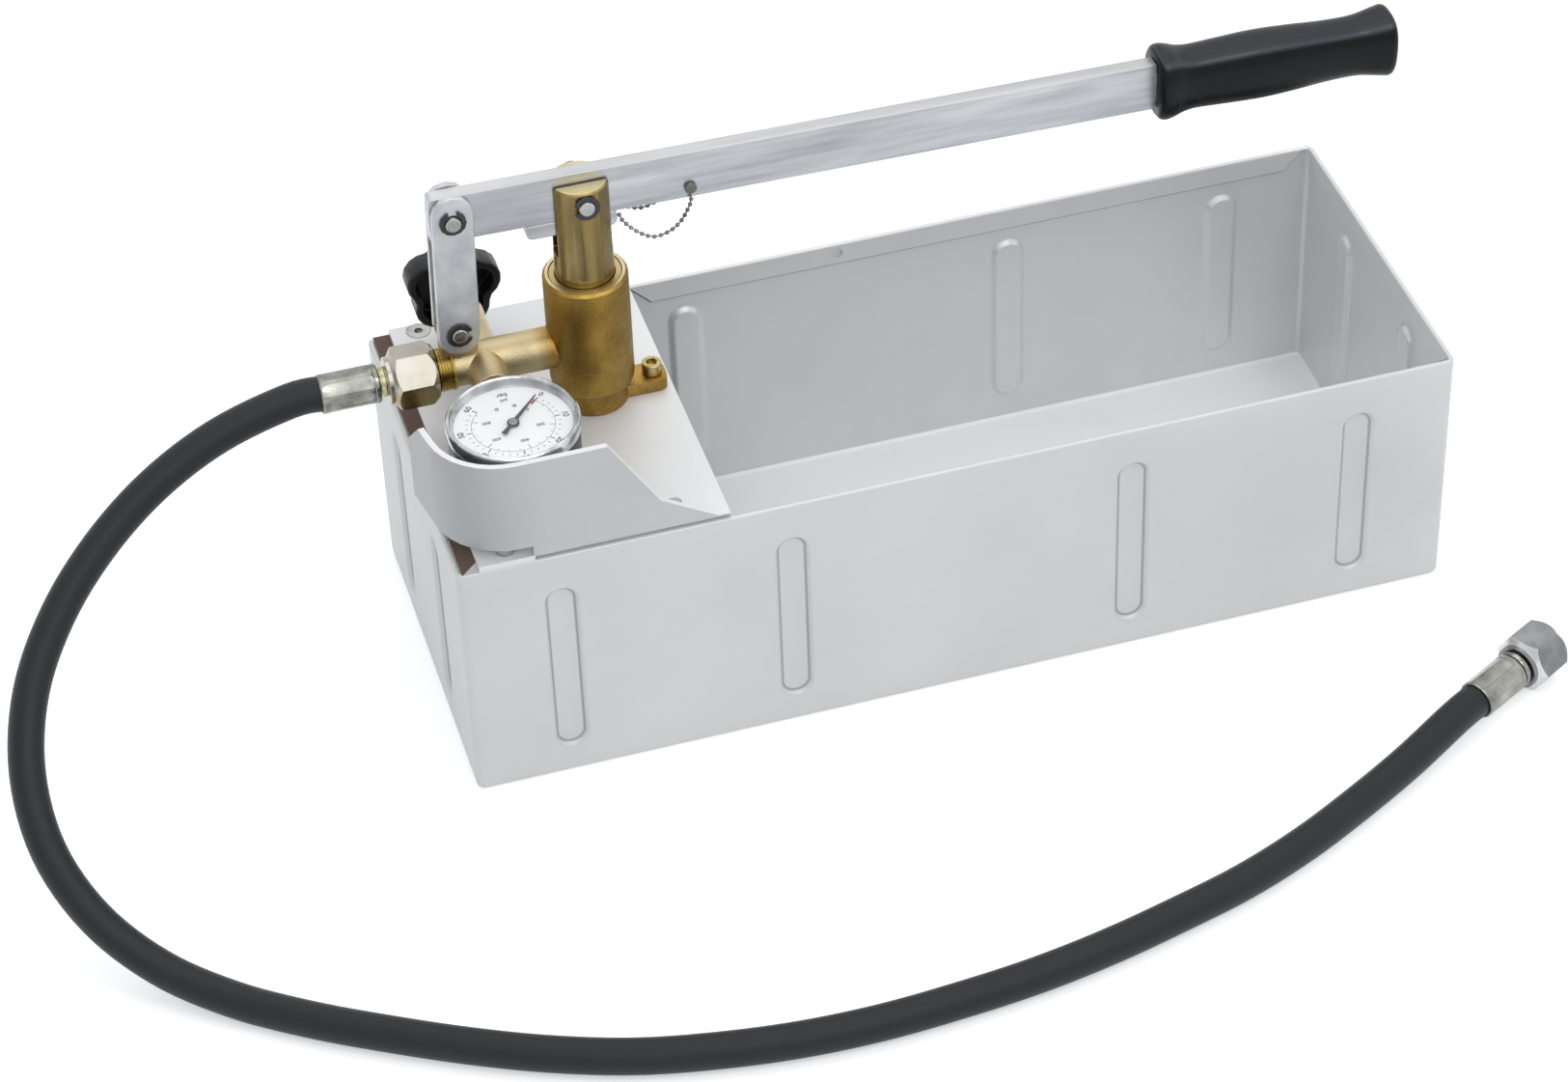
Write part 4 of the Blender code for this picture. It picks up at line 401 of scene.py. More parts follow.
def carved(obj, shape, operation):
    """The object with a second shape cut from it or kept of it, worked out at once."""
    tool = new_object("tool", shape, obj.data.materials[0], 35)
    adjusted(obj.modifiers.new("carve", "BOOLEAN"), operation=operation, solver="EXACT", object=tool)
    mesh = worked_out(obj)
    obj.modifiers.clear()
    obj.data = mesh
    bpy.data.objects.remove(tool)
    mesh.shade_smooth()
    mesh.set_sharp_from_angle(angle=radians(20))


class Nodes:
    """The node tree of a material or a world."""

    def __init__(self, holder):
        holder.use_nodes = True
        self.tree = holder.node_tree

    def add(self, kind, values=None, **settings):
        """A node with its settings, and with values or links on its inputs."""
        node = adjusted(self.tree.nodes.new(f"ShaderNode{kind}"), **settings)
        for name, value in (values or {}).items():
            self.feed(node.inputs[name], value)
        return node

    def feed(self, socket, value):
        if isinstance(value, bpy.types.NodeSocket):
            self.tree.links.new(value, socket)
        else:
            socket.default_value = value

    def maths(self, operation, first, second=0.0):
        return self.add("Math", {0: first, 1: second}, operation=operation).outputs[0]

    def seen_by_eye(self):
        """1 for rays of the camera, gloss and glass, and 0 for the light that falls on the object."""
        path = self.add("LightPath").outputs
        most = self.maths("MAXIMUM", path["Is Camera Ray"], path["Is Glossy Ray"])
        return self.maths("MAXIMUM", most, path["Is Transmission Ray"])


class Finish(Nodes):
    """A procedural material round one principled shader. Its textures follow the piece's own coordinates."""

    def __init__(self, name, colour, roughness, metallic=0.0):
        self.material = bpy.data.materials.new(name)
        super().__init__(self.material)
        self.shader = self.tree.nodes["Principled BSDF"]
        self.give("Base Color", (*colour, 1))
        self.give("Roughness", roughness)
        self.give("Metallic", metallic)
        self.space = self.add("TexCoord").outputs["Object"]

    def give(self, name, value):
        self.feed(self.shader.inputs[name], value)

    def stretched(self, scale):
        return self.add("Mapping", {"Vector": self.space, "Scale": scale}).outputs["Vector"]

    def noise(self, scale, detail, stretch=None):
        """Noise with so many features a metre, or stretched by a scale for each axis."""
        place = self.stretched(stretch) if stretch else self.space
        values = {"Vector": place, "Scale": scale, "Detail": detail, "Roughness": 0.55}
        return self.add("TexNoise", values).outputs["Fac"]

    def spread(self, factor, low, high, start=0.3, end=0.7):
        """The factor from start to end, as a value from low to high."""
        values = {"Value": factor, "From Min": start, "From Max": end, "To Min": low, "To Max": high}
        return self.add("MapRange", values).outputs["Result"]

    def tint(self, factor, *colours):
        """A mix of two colours, each of them a value or a link."""
        first, second = (c if isinstance(c, bpy.types.NodeSocket) else (*c, 1) for c in colours)
        return self.add("Mix", {"Factor": factor, 6: first, 7: second}, data_type="RGBA").outputs[2]

    def away(self, first, second):
        """How far apart two values are."""
        return self.maths("ABSOLUTE", self.maths("SUBTRACT", first, second))

    def place(self, axis):
        return self.add("SeparateXYZ", {0: self.space}).outputs[axis]

    def upward(self):
        """How far the surface faces up, from -1 to 1."""
        normal = self.add("NewGeometry").outputs["Normal"]
        return self.add("SeparateXYZ", {0: normal}).outputs["Z"]

    def bump(self, height, distance, strength):
        """Adds a relief of so many metres over those that are there already."""
        node = self.add("Bump", {"Strength": strength, "Distance": distance, "Height": height})
        normal = self.shader.inputs["Normal"]
        if normal.is_linked:
            self.feed(node.inputs["Normal"], normal.links[0].from_socket)
        self.feed(normal, node.outputs["Normal"])


def off_bead_line(look):
    """How far a place on the tank's walls is from the line of painted crease shade round its nearest bead."""
    across = 1.0
    for axis, middles in (("X", BEAD_SIDES), ("Y", BEAD_ENDS)):
        for middle in middles:
            across = look.maths("MINIMUM", across, look.away(look.place(axis), middle))
    height = look.away(look.place("Z"), (BEAD_LOW + BEAD_HIGH) / 2)
    straight = (BEAD_HIGH - BEAD_LOW) / 2 - BEAD_HALF
    beyond = look.maths("MAXIMUM", look.maths("SUBTRACT", height, straight))
    square = look.maths("ADD", look.maths("POWER", across, 2.0), look.maths("POWER", beyond, 2.0))
    return look.away(look.maths("SQRT", square), BEAD_SHADE_LINE)


def sheet_metal(name, light, dark, roughness, metallic, bend_shade=None, bead_crease_shade=None):
    """Rolled sheet: faint clouds, a fine grain along the tank and a satin gloss.

    It may be darker towards a bent left end, as painted shade, and may have painted shade in the creases
    round the beads."""
    look = Finish(name, light, roughness, metallic)
    base = look.tint(look.spread(look.noise(9, 4), 0, 1), light, dark)
    if bend_shade:
        # Painted shade: darker towards the bent left end.
        base = look.tint(look.spread(look.place("X"), 1, 0, *BEND_SHADE_RANGE), base, bend_shade)
    if bead_crease_shade:
        # Painted shade: a dark band in the crease round each bead.
        base = look.tint(look.spread(off_bead_line(look), 0.7, 0, 0.0002, 0.0008), base, bead_crease_shade)
    look.give("Base Color", base)
    grain = look.noise(60, 3, (0.5, 12, 18))
    look.give("Roughness", look.spread(grain, roughness - 0.05, roughness + 0.07))
    look.bump(grain, 0.00003, 0.5)
    return look.material


def plated(name, light, dark, roughness, stretch=(1, 1, 1), metallic=1.0, dents=0.00004):
    """Zinc plate: a cloudy blue-grey film, drawn streaks and small dents."""
    look = Finish(name, light, roughness, metallic)
    film = look.noise(70, 5, stretch)
    look.give("Base Color", look.tint(look.spread(film, 0, 1, 0.35, 0.68), light, dark))
    streaks = look.noise(500, 3, stretch)
    look.give("Roughness", look.spread(streaks, roughness - 0.06, roughness + 0.1))
    look.bump(streaks, dents, 0.3)
    look.bump(look.noise(160, 2), 2 * dents, 0.2)
    return look.material


def passivated(name, pale, gold_film_and_reflection, roughness):
    """Nickel plate with a faint golden film, and a painted golden reflection on the sides that look down."""
    look = Finish(name, pale, roughness, 1.0)
    film = look.noise(90, 3)
    base = look.tint(look.spread(film, 0, 0.25), pale, gold_film_and_reflection)
    # Painted reflection: golden on the sides that look down.
    look.give("Base Color", look.tint(look.spread(look.upward(), 0.85, 0, -0.3, 0.1), base, gold_film_and_reflection))
    look.give("Roughness", look.spread(film, roughness - 0.05, roughness + 0.08))
    return look.material


def cast_brass(name, light, dark, pale, roughness):
    """Sand-cast brass: pits and grain, browner where it is duller, and paler along the arm."""
    look = Finish(name, light, roughness, 1.0)
    patches = look.noise(55, 5)
    specks = look.noise(900, 3)
    base = look.tint(look.spread(patches, 0, 1, 0.32, 0.68), light, dark)
    base = look.tint(look.spread(look.place("X"), 0.75, 0, *PALE_ARM_RANGE), base, pale)
    look.give("Base Color", look.tint(look.spread(specks, 0, 0.25, 0.5, 0.75), base, pale))
    look.give("Roughness", look.spread(patches, roughness - 0.06, roughness + 0.1))
    look.bump(specks, 0.0004, 0.5)
    look.bump(look.noise(220, 3), 0.0004, 0.35)
    return look.material


def turned_brass(name, light, dark, roughness, stretch=(1, 1, 1)):
    """Machined brass: even, with faint tool marks and handling stains."""
    look = Finish(name, light, roughness, 1.0)
    stains = look.noise(60, 4, stretch)
    look.give("Base Color", look.tint(look.spread(stains, 0, 1), light, dark))
    look.give("Roughness", look.spread(stains, roughness, roughness + 0.12))
    look.bump(look.noise(700, 2, stretch), 0.00004, 0.4)
    return look.material


def moulded(name, colour, worn, roughness, grain=1400, gloss=0.5):
    """Moulded rubber or plastic: a fine grain, with scuffs that are a little lighter."""
    look = Finish(name, colour, roughness)
    look.give("Specular IOR Level", gloss)
    scuffs = look.noise(90, 5)
    look.give("Base Color", look.tint(look.spread(scuffs, 0, 0.6, 0.5, 0.8), colour, worn))
    look.give("Roughness", look.spread(scuffs, roughness - 0.05, roughness + 0.12))
    look.bump(look.noise(grain, 2), 0.00006, 0.4)
    return look.material


def grip_rubber():
    """Smooth rubber, with a painted sheen: a lighter band along its upper edges."""
    colour = srgb(6, 8, 12)
    look = Finish("grip_rubber", colour, 0.26)
    look.give("Specular IOR Level", 0.18)
    upward = look.upward()
    # Painted sheen: lighter where the faces turn from the top towards the sides.
    edge = look.maths(
        "MULTIPLY", look.spread(upward, 0, 1, 0.55, 0.7), look.spread(upward, 1, 0.4, 0.75, 0.97)
    )
    look.give("Base Color", look.tint(edge, colour, srgb(64, 68, 73)))
    look.give("Roughness", look.spread(look.noise(90, 5), 0.21, 0.34))
    look.bump(look.noise(900, 2), 0.00002, 0.4)
    return look.material


def braided_rubber():
    """The hose's cover: wrapped fabric pressed into it, as two crossing sets of fine ribs."""
    look = Finish("hose_cover", srgb(24, 28, 31), 0.42)
    look.give("Specular IOR Level", 0.3)
    look.space = look.add("Attribute", attribute_name="wrap").outputs["Vector"]
    ribs = []
    for turn in (RIB_DENSITY, -RIB_DENSITY):
        values = {"Vector": look.stretched((RIB_DENSITY, turn, 0)), "Scale": 1, "Distortion": 0.6}
        wave = look.add("TexWave", values, wave_type="BANDS", bands_direction="DIAGONAL")
        ribs.append(wave.outputs["Fac"])
    cross = look.maths("MULTIPLY", *ribs)
    look.give("Base Color", look.tint(look.spread(cross, 0, 1, 0, 1), srgb(18, 22, 25), srgb(38, 43, 47)))
    look.give("Roughness", look.spread(cross, 0.46, 0.36, 0, 1))
    look.bump(cross, 0.00012, 0.6)
    return look.material


def clear_plastic():
    """The gauge's window: nearly unseen, with faint smears in its gloss."""
    look = Finish("clear_window", (0.97, 0.98, 0.98), 0.03)
    look.give("Alpha", 0.06)
    smears = look.noise(60, 3)
    look.give("Roughness", look.spread(smears, 0.02, 0.12))
    look.give("Base Color", look.tint(smears, (0.96, 0.97, 0.97), (0.99, 0.99, 0.99)))
    return look.material


def make_looks():
    drawn = (0.15, 2, 2)  # streaks that run along X
    return {
        "tank": sheet_metal(
            "satin_stainless", srgb(214, 214, 213), srgb(206, 206, 205), 0.46, 0.3, bead_crease_shade=srgb(128, 130, 131)
        ),
        # Painted light: a lighter copy of the tank's steel on the faces inside.
        "inside": sheet_metal("inner_stainless_painted_light", srgb(223, 224, 224), srgb(215, 216, 216), 0.34, 0.35),
        # Painted light: a still lighter, less metallic copy of the steel on the tank's inner floor.
        "floor": sheet_metal("floor_stainless_painted_light", srgb(251, 251, 251), srgb(245, 246, 246), 0.5, 0.1),
        # Painted shade: dark grey on the downward faces under the hems and in the hole.
        "underside_shade": moulded("hem_underside_shade", srgb(70, 72, 74), srgb(88, 90, 92), 0.6),
        "deck": sheet_metal("deck_sheet", srgb(234, 234, 234), srgb(226, 227, 227), 0.5, 0.25),
        # Painted shade: a darker copy of the deck's sheet for the guard's upright faces.
        "guard": sheet_metal(
            "guard_sheet_painted_shade", srgb(192, 194, 194), srgb(184, 186, 187), 0.4, 0.5, bend_shade=srgb(166, 168, 169)
        ),
        # Painted shade: the dark brown of the gap left of the deck, put on the flange tops.
        "shade": sheet_metal("shaded_sheet", srgb(104, 82, 71), srgb(92, 72, 62), 0.8, 0.0),
        "lever": plated("drawn_zinc", srgb(202, 204, 207), srgb(162, 165, 170), 0.34, drawn, 0.85),
        # Painted light: the lever's top is a lighter, less mottled copy of its zinc.
        "lever_lit_top": plated("lever_top_painted_light", srgb(204, 205, 206), srgb(190, 192, 194), 0.34, drawn, 0.7),
        "link": plated("link_zinc", srgb(214, 216, 218), srgb(184, 187, 191), 0.4, metallic=0.8),
        "zinc": plated("bright_zinc", srgb(190, 190, 189), srgb(158, 158, 156), 0.28),
        "ferrule": plated("ferrule_zinc", srgb(168, 168, 163), srgb(112, 112, 106), 0.22, dents=0.00001),
        "free_nut": plated("nut_zinc", srgb(150, 151, 152), srgb(122, 123, 124), 0.32, dents=0.00001),
        # The cones' paler colour is painted highlight; their lower roughness is the turned finish.
        "cone": plated("turned_zinc_painted_highlight", srgb(214, 215, 216), srgb(190, 191, 192), 0.2, dents=0.00001),
        "union": passivated("union_nickel", srgb(176, 173, 166), srgb(140, 120, 60), 0.24),
        "nipple": plated("nipple_plate", srgb(186, 184, 150), srgb(150, 146, 104), 0.22, dents=0.00001),
        "yellow": plated("yellow_zinc", srgb(196, 180, 130), srgb(160, 142, 96), 0.3),
        "chain": plated("chain_steel", srgb(150, 148, 145), srgb(96, 94, 90), 0.16, dents=0.00001),
        "brass": cast_brass("cast_brass", srgb(170, 137, 64), srgb(126, 98, 40), srgb(200, 187, 154), 0.42),
        # Painted light: paler brass on upward faces, and the pump body's faced top.
        "faced_and_lit_top": turned_brass("faced_brass_painted_light", srgb(212, 200, 162), srgb(190, 174, 130), 0.3),
        "gland": turned_brass("gland_brass", srgb(190, 172, 126), srgb(166, 146, 98), 0.3),
        "turned": turned_brass("turned_brass", srgb(180, 156, 100), srgb(146, 122, 70), 0.26),
        "plunger": turned_brass(
            "plunger_bronze", srgb(160, 143, 98), srgb(118, 98, 52), 0.24, (1.6, 1.6, 0.25)
        ),
        "thread": turned_brass("thread_brass", srgb(196, 172, 102), srgb(160, 134, 66), 0.22),
        "ring": moulded("black_oxide", srgb(40, 41, 42), srgb(70, 70, 70), 0.35),
        "hose": braided_rubber(),
        "grip": grip_rubber(),
        "plastic": moulded("black_nylon", srgb(14, 15, 16), srgb(30, 31, 33), 0.32, 1100, 0.3),
        "rubber": moulded("seal_rubber", srgb(34, 35, 36), srgb(60, 60, 60), 0.6),
        # Painted reflection: the chrome's light and dark patches are put in its colour.
        "bezel": plated("bezel_chrome_painted_reflection", srgb(226, 228, 230), srgb(150, 153, 156), 0.09, dents=0.000004),
        "wall": plated(
            "inner_wall_painted_reflection", srgb(216, 219, 221), srgb(120, 124, 127), 0.16, metallic=0.6, dents=0.000004
        ),
        "cap": plated("needle_cap", srgb(176, 178, 178), srgb(120, 122, 122), 0.3, dents=0.00001),
        "dial": moulded("dial_white", srgb(251, 251, 250), srgb(246, 246, 245), 0.5),
        "needle": moulded("needle_black", srgb(12, 12, 11), srgb(26, 26, 23), 0.5, gloss=0.1),
        "ink": moulded("black_ink", srgb(18, 18, 20), srgb(30, 30, 30), 0.6, gloss=0.1),
        "grey_ink": moulded("grey_ink", srgb(84, 86, 88), srgb(104, 106, 108), 0.6, gloss=0.1),
        "red_ink": moulded("red_ink", srgb(206, 42, 26), srgb(212, 66, 46), 0.6, gloss=0.1),
        "window": clear_plastic(),
    }


def make_hose(looks):
    """A tube along the route; each corner of a face knows its place along and round the hose."""
    start, end = Vector(HOSE_ROUTE[0]), Vector(HOSE_ROUTE[-1])
    make_hose_end("pump", start, start - Vector(HOSE_ROUTE[1]), looks, "union", radians(13))
    fittings = make_hose_end("free", end, end - Vector(HOSE_ROUTE[-2]), looks, "free_nut", 0, True)
    line = smooth_line(HOSE_ROUTE, HOSE_PARTS)
    for point in line:
        point.z = max(point.z, HOSE_RADIUS)
    loops, runs = [], [0.0]
    side = Vector((0, 1, 0))
    for i, point in enumerate(line):
        ahead = (line[min(i + 1, len(line) - 1)] - line[max(i - 1, 0)]).normalized()
        side = (side - side.dot(ahead) * ahead).normalized()
        up = ahead.cross(side)
        loops.append([point + HOSE_RADIUS * (c * side + s * up) for c, s in circle(HOSE_SIDES)])
        if i:
            runs.append(runs[-1] + (point - line[i - 1]).length)
    shape = bmesh.new()
    wrap = shape.loops.layers.float_vector.new("wrap")
    loft(shape, loops)
    for number, face in enumerate(list(shape.faces)[:-2]):  # all but the two ends
        i, k = divmod(number, HOSE_SIDES)
        for corner, (step, further) in zip(face.loops, ((k, 0), (k + 1, 0), (k + 1, 1), (k, 1))):
            corner[wrap] = Vector((runs[i + further] / HOSE_RADIUS, 2 * pi * step / HOSE_SIDES, 0))
    hose = stand_in("hose", shape, looks["hose"], 60, "hose_cover")


def make_hose_end(tag, start, ahead, looks, nut_look, spin, snug=False):
    """Union nut, nipple, washer and ferrule at one end, from the hose's first point along the way out."""
    ahead = ahead.normalized()
    turn = (-ahead).to_track_quat("Z", "Y").to_matrix().to_4x4()
    place = Matrix.Translation(start + FITTING_REACH * ahead) @ turn
    down = turn.to_3x3().transposed() @ Vector((0, 0, -1))
    corner = atan2(down.y, down.x) + spin + pi / 6
    lip = NUT_LENGTH - NUT_LIP
    throat = NIPPLE_RADIUS + GAP

    shape = bmesh.new()
    loft(shape, [hoop(place, NUT_RADIUS, height, 6, corner) for height in (0, NUT_LENGTH)])
    nut = new_object(f"union_nut_{tag}_detail", shape, looks[nut_look], 20)
    cones = ((0, NUT_MOUTH[0][1]), *NUT_MOUTH, *NUT_BACK, (0, NUT_BACK[-1][1]))
    carved(nut, turned(cones, 96, place), "INTERSECT")
    bore = (
        (0, -0.001), (NUT_BORE + 0.001, -0.001), (NUT_BORE, 0.0012), (NUT_BORE, lip),
        (throat, lip), (throat, NUT_LENGTH + 0.001), (0, NUT_LENGTH + 0.001),
    )
    carved(nut, turned(bore, 48, place), "DIFFERENCE")
    if snug:
        axis = place.to_3x3() @ Vector((0, 0, 1))
        # Paler look on the nut's cones: partly their turned finish, partly painted highlight.
        finish_where(nut, looks["cone"], lambda middle, normal: 0.2 < abs(normal.dot(axis)) < 0.97)
    stand_for(broken(nut, 0.0002), f"union_nut_{tag}")

    tail = FERRULE_END - FERRULE_SOCKET - GAP
    flange = lip - GAP
    seat = flange - NIPPLE_FLANGE
    neck = FERRULE_START - 0.0006
    collar = NIPPLE_RADIUS + (0.0026 if snug else 0.0004)
    nipple = (
        (NIPPLE_FLANGE_RADIUS, seat), (NIPPLE_FLANGE_RADIUS, flange), (NIPPLE_RADIUS, flange),
        (NIPPLE_RADIUS, NUT_LENGTH + 0.0006), (collar, NUT_LENGTH + 0.001), (collar, NUT_LENGTH + 0.0026),
        (collar - 0.0004, neck), (NIPPLE_RADIUS, neck), (NIPPLE_RADIUS, tail),
        (NIPPLE_BORE, tail), (NIPPLE_BORE, seat),
    )
    outer, inner = seat - GAP - WASHER_THICKNESS, seat - GAP
    washer = (
        (NIPPLE_BORE, outer), (NIPPLE_FLANGE_RADIUS, outer),
        (NIPPLE_FLANGE_RADIUS, inner), (NIPPLE_BORE, inner),
    )
    plate = looks["ferrule" if snug else "nipple"]
    return [
        nut,
        stand_in(f"hose_nipple_{tag}", turned(nipple, 64, place, True), plate, 30),
        stand_in(f"union_washer_{tag}", turned(washer, 48, place, True), looks["rubber"], 30),
        make_ferrule(tag, place, looks["ferrule"]),
    ]


def make_ferrule(tag, place, finish):
    """A crimped sleeve: pressed flats run along it, between round lips at its ends."""
    steps = 12 * CRIMPS
    half = pi / CRIMPS
    rows = (  # height, growth of the radius, share of the flats' depth
        (FERRULE_START, -0.0008, 0), (FERRULE_START + 0.0006, -0.0002, 0), (FERRULE_START + 0.0022, 0, 0),
        (FERRULE_START + 0.0027, -0.0004, 0), (FERRULE_START + 0.0032, -0.0001, 0.4),
        (FERRULE_START + 0.005, 0, 1), (FERRULE_END - 0.0045, 0, 1), (FERRULE_END - 0.0022, 0, 0.3),
        (FERRULE_END - 0.0008, 0, 0), (FERRULE_END, -0.0004, 0),
    )
    loops = []
    for height, grow, pressed in rows:
        loop = []
        for k in range(steps):
            turn = 2 * pi * k / steps
            off = (turn + half) % (2 * half) - half
            flat = FERRULE_RADIUS * cos(half * 0.86) / max(cos(off), 0.5)
            radius = FERRULE_RADIUS + grow - pressed * max(FERRULE_RADIUS - flat, 0)
            loop.append(place @ Vector((radius * cos(turn), radius * sin(turn), height)))
        loops.append(loop)
    socket = FERRULE_END - FERRULE_SOCKET
    loops += [hoop(place, FERRULE_BORE, height, steps) for height in (FERRULE_END, socket)]
    loops += [hoop(place, NIPPLE_RADIUS + GAP, height, steps) for height in (socket, FERRULE_START)]
    shape = bmesh.new()
    rings = [ring(shape, loop) for loop in loops]
    skin(shape, rings + rings[:1])
    return stand_in(f"hose_ferrule_{tag}", shape, finish, 24)


def make_thread(finish):
    """The rings of the arm's thread that the union nut leaves bare, and the collar behind them."""
    profile = [
        (THREAD_FOOT, THREAD_START + 0.0014), (THREAD_CREST, THREAD_START + 0.0012),
        (0.0111, THREAD_START + 0.0006), (THREAD_CREST, THREAD_START), (THREAD_VALLEY, THREAD_START - 0.0002),
    ]
    for k in range(round((THREAD_START - THREAD_END) / THREAD_PITCH)):
        crest = THREAD_START - THREAD_PITCH * (k + 0.6)
        profile += [
            (THREAD_VALLEY, crest + 0.0005), (THREAD_CREST, crest + 0.0001),
            (THREAD_CREST, crest - 0.0001), (THREAD_VALLEY, crest - 0.0005),
        ]
    profile.append((THREAD_FOOT, THREAD_END))
    axis = Matrix.Translation((0, ARM.y, ARM.z)) @ Matrix.Rotation(pi / 2, 4, "Y")
    extra("arm_thread", turned(profile, 64, axis, True), finish, 20)


def make_arm_skin(finish):
    """Round skins over the many-sided arm, gauge boss and valve branch of the pump's body."""
    shape = bmesh.new()
    for reach, way, profile in ARM_SKINS:
        turn = Vector((0, 0, 1)).rotation_difference(Vector(way)).to_matrix().to_4x4()
        lathe(shape, profile, 72, Matrix.Translation(ARM - Vector((reach, 0, 0))) @ turn, True)
    extra("arm_skin", shape, finish, 30)


def wall_stations(half, beads):
    """Places along one wall: close together over its beads, and wide apart between."""
    stations = {-half, half}
    for middle in beads:
        stations |= {middle + k * BEAD_STEP for k in range(-11, 12)}
    stations |= {-half + WALL_STEP * k for k in range(1, int(2 * half / WALL_STEP) + 1)}
    ordered = []
    for place in sorted(stations):
        if not ordered or place - ordered[-1] > 0.0007:
            ordered.append(place)
    ordered[-1] = half
    return ordered


def tank_columns():
    """Places round the tank's outer face, as (point, way out, distance across from the nearest bead)."""
    columns = []
    for out_x, out_y in ((0, -1), (1, 0), (0, 1), (-1, 0)):
        half, away, beads = TANK_LENGTH / 2, TANK_WIDTH / 2, BEAD_SIDES
        if out_x:
            half, away, beads = away, half, BEAD_ENDS
        straight = half - TANK_CORNER
        # Going round against the clock, a wall runs along its outward direction turned left.
        along = Vector((-out_y, out_x))
        outward = Vector((out_x, out_y))
        flip = -1 if (along.x + along.y) < 0 else 1
        for u in wall_stations(straight, [flip * middle for middle in beads]):
            point = outward * away + along * u
            columns.append((point, outward, min(abs(u - flip * middle) for middle in beads)))
        start = atan2(out_y, out_x)
        centre = outward * (away - TANK_CORNER) + along * straight
        for k in range(1, 8):
            turn = start + pi / 2 * k / 8
            normal = Vector((cos(turn), sin(turn)))
            columns.append((centre + TANK_CORNER * normal, normal, 1.0))
    return columns


def bead_depth(across, height):
    """How far a bead presses the sheet in, at a distance across it and a height."""
    low = BEAD_LOW + BEAD_HALF
    high = BEAD_HIGH - BEAD_HALF
    distance = hypot(across, height - min(max(height, low), high))
    share = min(max((BEAD_HALF - distance) / (BEAD_HALF * BEAD_FLANK_SHARE), 0), 1)
    return BEAD_DEPTH * share * share * (3 - 2 * share)


def wall_heights():
    """Heights of the walls' rows of faces: close together over the beads' round ends."""
    heights = [0.007, 0.010, 0.013]
    heights += [BEAD_LOW - 0.001 + BEAD_STEP * k for k in range(12)]
    heights += [0.030, 0.045, 0.060, 0.075, 0.090, 0.104]
    heights += [BEAD_HIGH + 0.001 - BEAD_STEP * k for k in range(11, -1, -1)]
    return heights + [0.123, 0.129]


def make_tank(looks):
    columns = tank_columns()

    def loop(inset, height, pressed=0.0):
        points = []
        for point, outward, across in columns:
            place = point - outward * (inset + pressed * bead_depth(across, height))
            points.append((place.x, place.y, height))
        return points

    def bent(radius, turn):
        """One loop of the fold between the walls and the floor."""
        inset = min(TANK_CORNER - radius * sin(turn), TANK_CORNER - 0.0001)
        return loop(inset, TANK_CORNER - radius * cos(turn))

    quarter = [pi / 2 * k / 6 for k in range(7)]
    heights = wall_heights()
    rim = RIM / 2
    loops = [bent(TANK_CORNER, turn) for turn in quarter]
    loops += [loop(0, height, 1) for height in heights]
    for k in range(9):
        turn = pi * (1 - k / 8)
        loops.append(loop(rim + rim * cos(turn), TANK_HEIGHT - rim + rim * sin(turn)))
    loops.append(loop(RIM - 0.0004, TANK_HEIGHT - rim - 0.0006))
    loops.append(loop(TANK_SHEET, TANK_HEIGHT - rim - 0.0016))
    loops += [loop(TANK_SHEET, height, 1) for height in reversed(heights)]
    loops += [bent(TANK_CORNER - TANK_SHEET, turn) for turn in reversed(quarter)]
    shape = bmesh.new()
    loft(shape, loops)
    add_hems(shape)
    add_flanges(shape)
    hole_in_hem(shape)
    tank = new_object("tank_shell", shape, looks["tank"], 40)
    # A face that two tests choose gets the later look.
    # Painted shade on the gap's flange tops and under the hems; painted light on the inner faces and the
    # tank's floor.
    for look, chosen in (("shade", is_stained), ("inside", is_inner), ("underside_shade", is_seam), ("floor", is_floor)):
        finish_where(tank, looks[look], chosen)
    stand_for(tank, "tank")


def is_inner(middle, normal):
    """Whether a face of the tank looks into it."""
    facing = 0.0
    if abs(middle.x) > TANK_LENGTH / 2 - 0.006:
        facing += normal.x * copysign(1, middle.x)
    if abs(middle.y) > TANK_WIDTH / 2 - 0.006:
        facing += normal.y * copysign(1, middle.y)
    return facing < -0.05 or normal.z > 0.5 and middle.z < 0.01


def is_seam(middle, normal):
    """Whether a face is one of the narrow ones that look down round a hem's edge or its hole, which take
    painted shade.
    """
    low = TANK_HEIGHT - HEM_DEPTH
    shows = normal.y > -0.4 or middle.y > 0
    return shows and normal.z < -0.3 and low - 0.0005 < middle.z < low + 0.0103


# The tank's inner floor, which takes the lighter copy of the steel as painted light.
def is_floor(middle, normal):
    return normal.z > 0.5 and 0.001 < middle.z < 0.004


def is_stained(middle, normal):
    """Whether a face is the top of the flange that shows left of the deck, which takes the brown painted
    shade of the gap.
    """
    level = normal.z > 0.5 and abs(middle.z - TANK_HEIGHT) < 0.0001
    left = RIM - TANK_LENGTH / 2 < middle.x < DECK_LEFT + 0.004
    return level and left and -0.0895 < middle.y < TANK_WIDTH / 2 - RIM


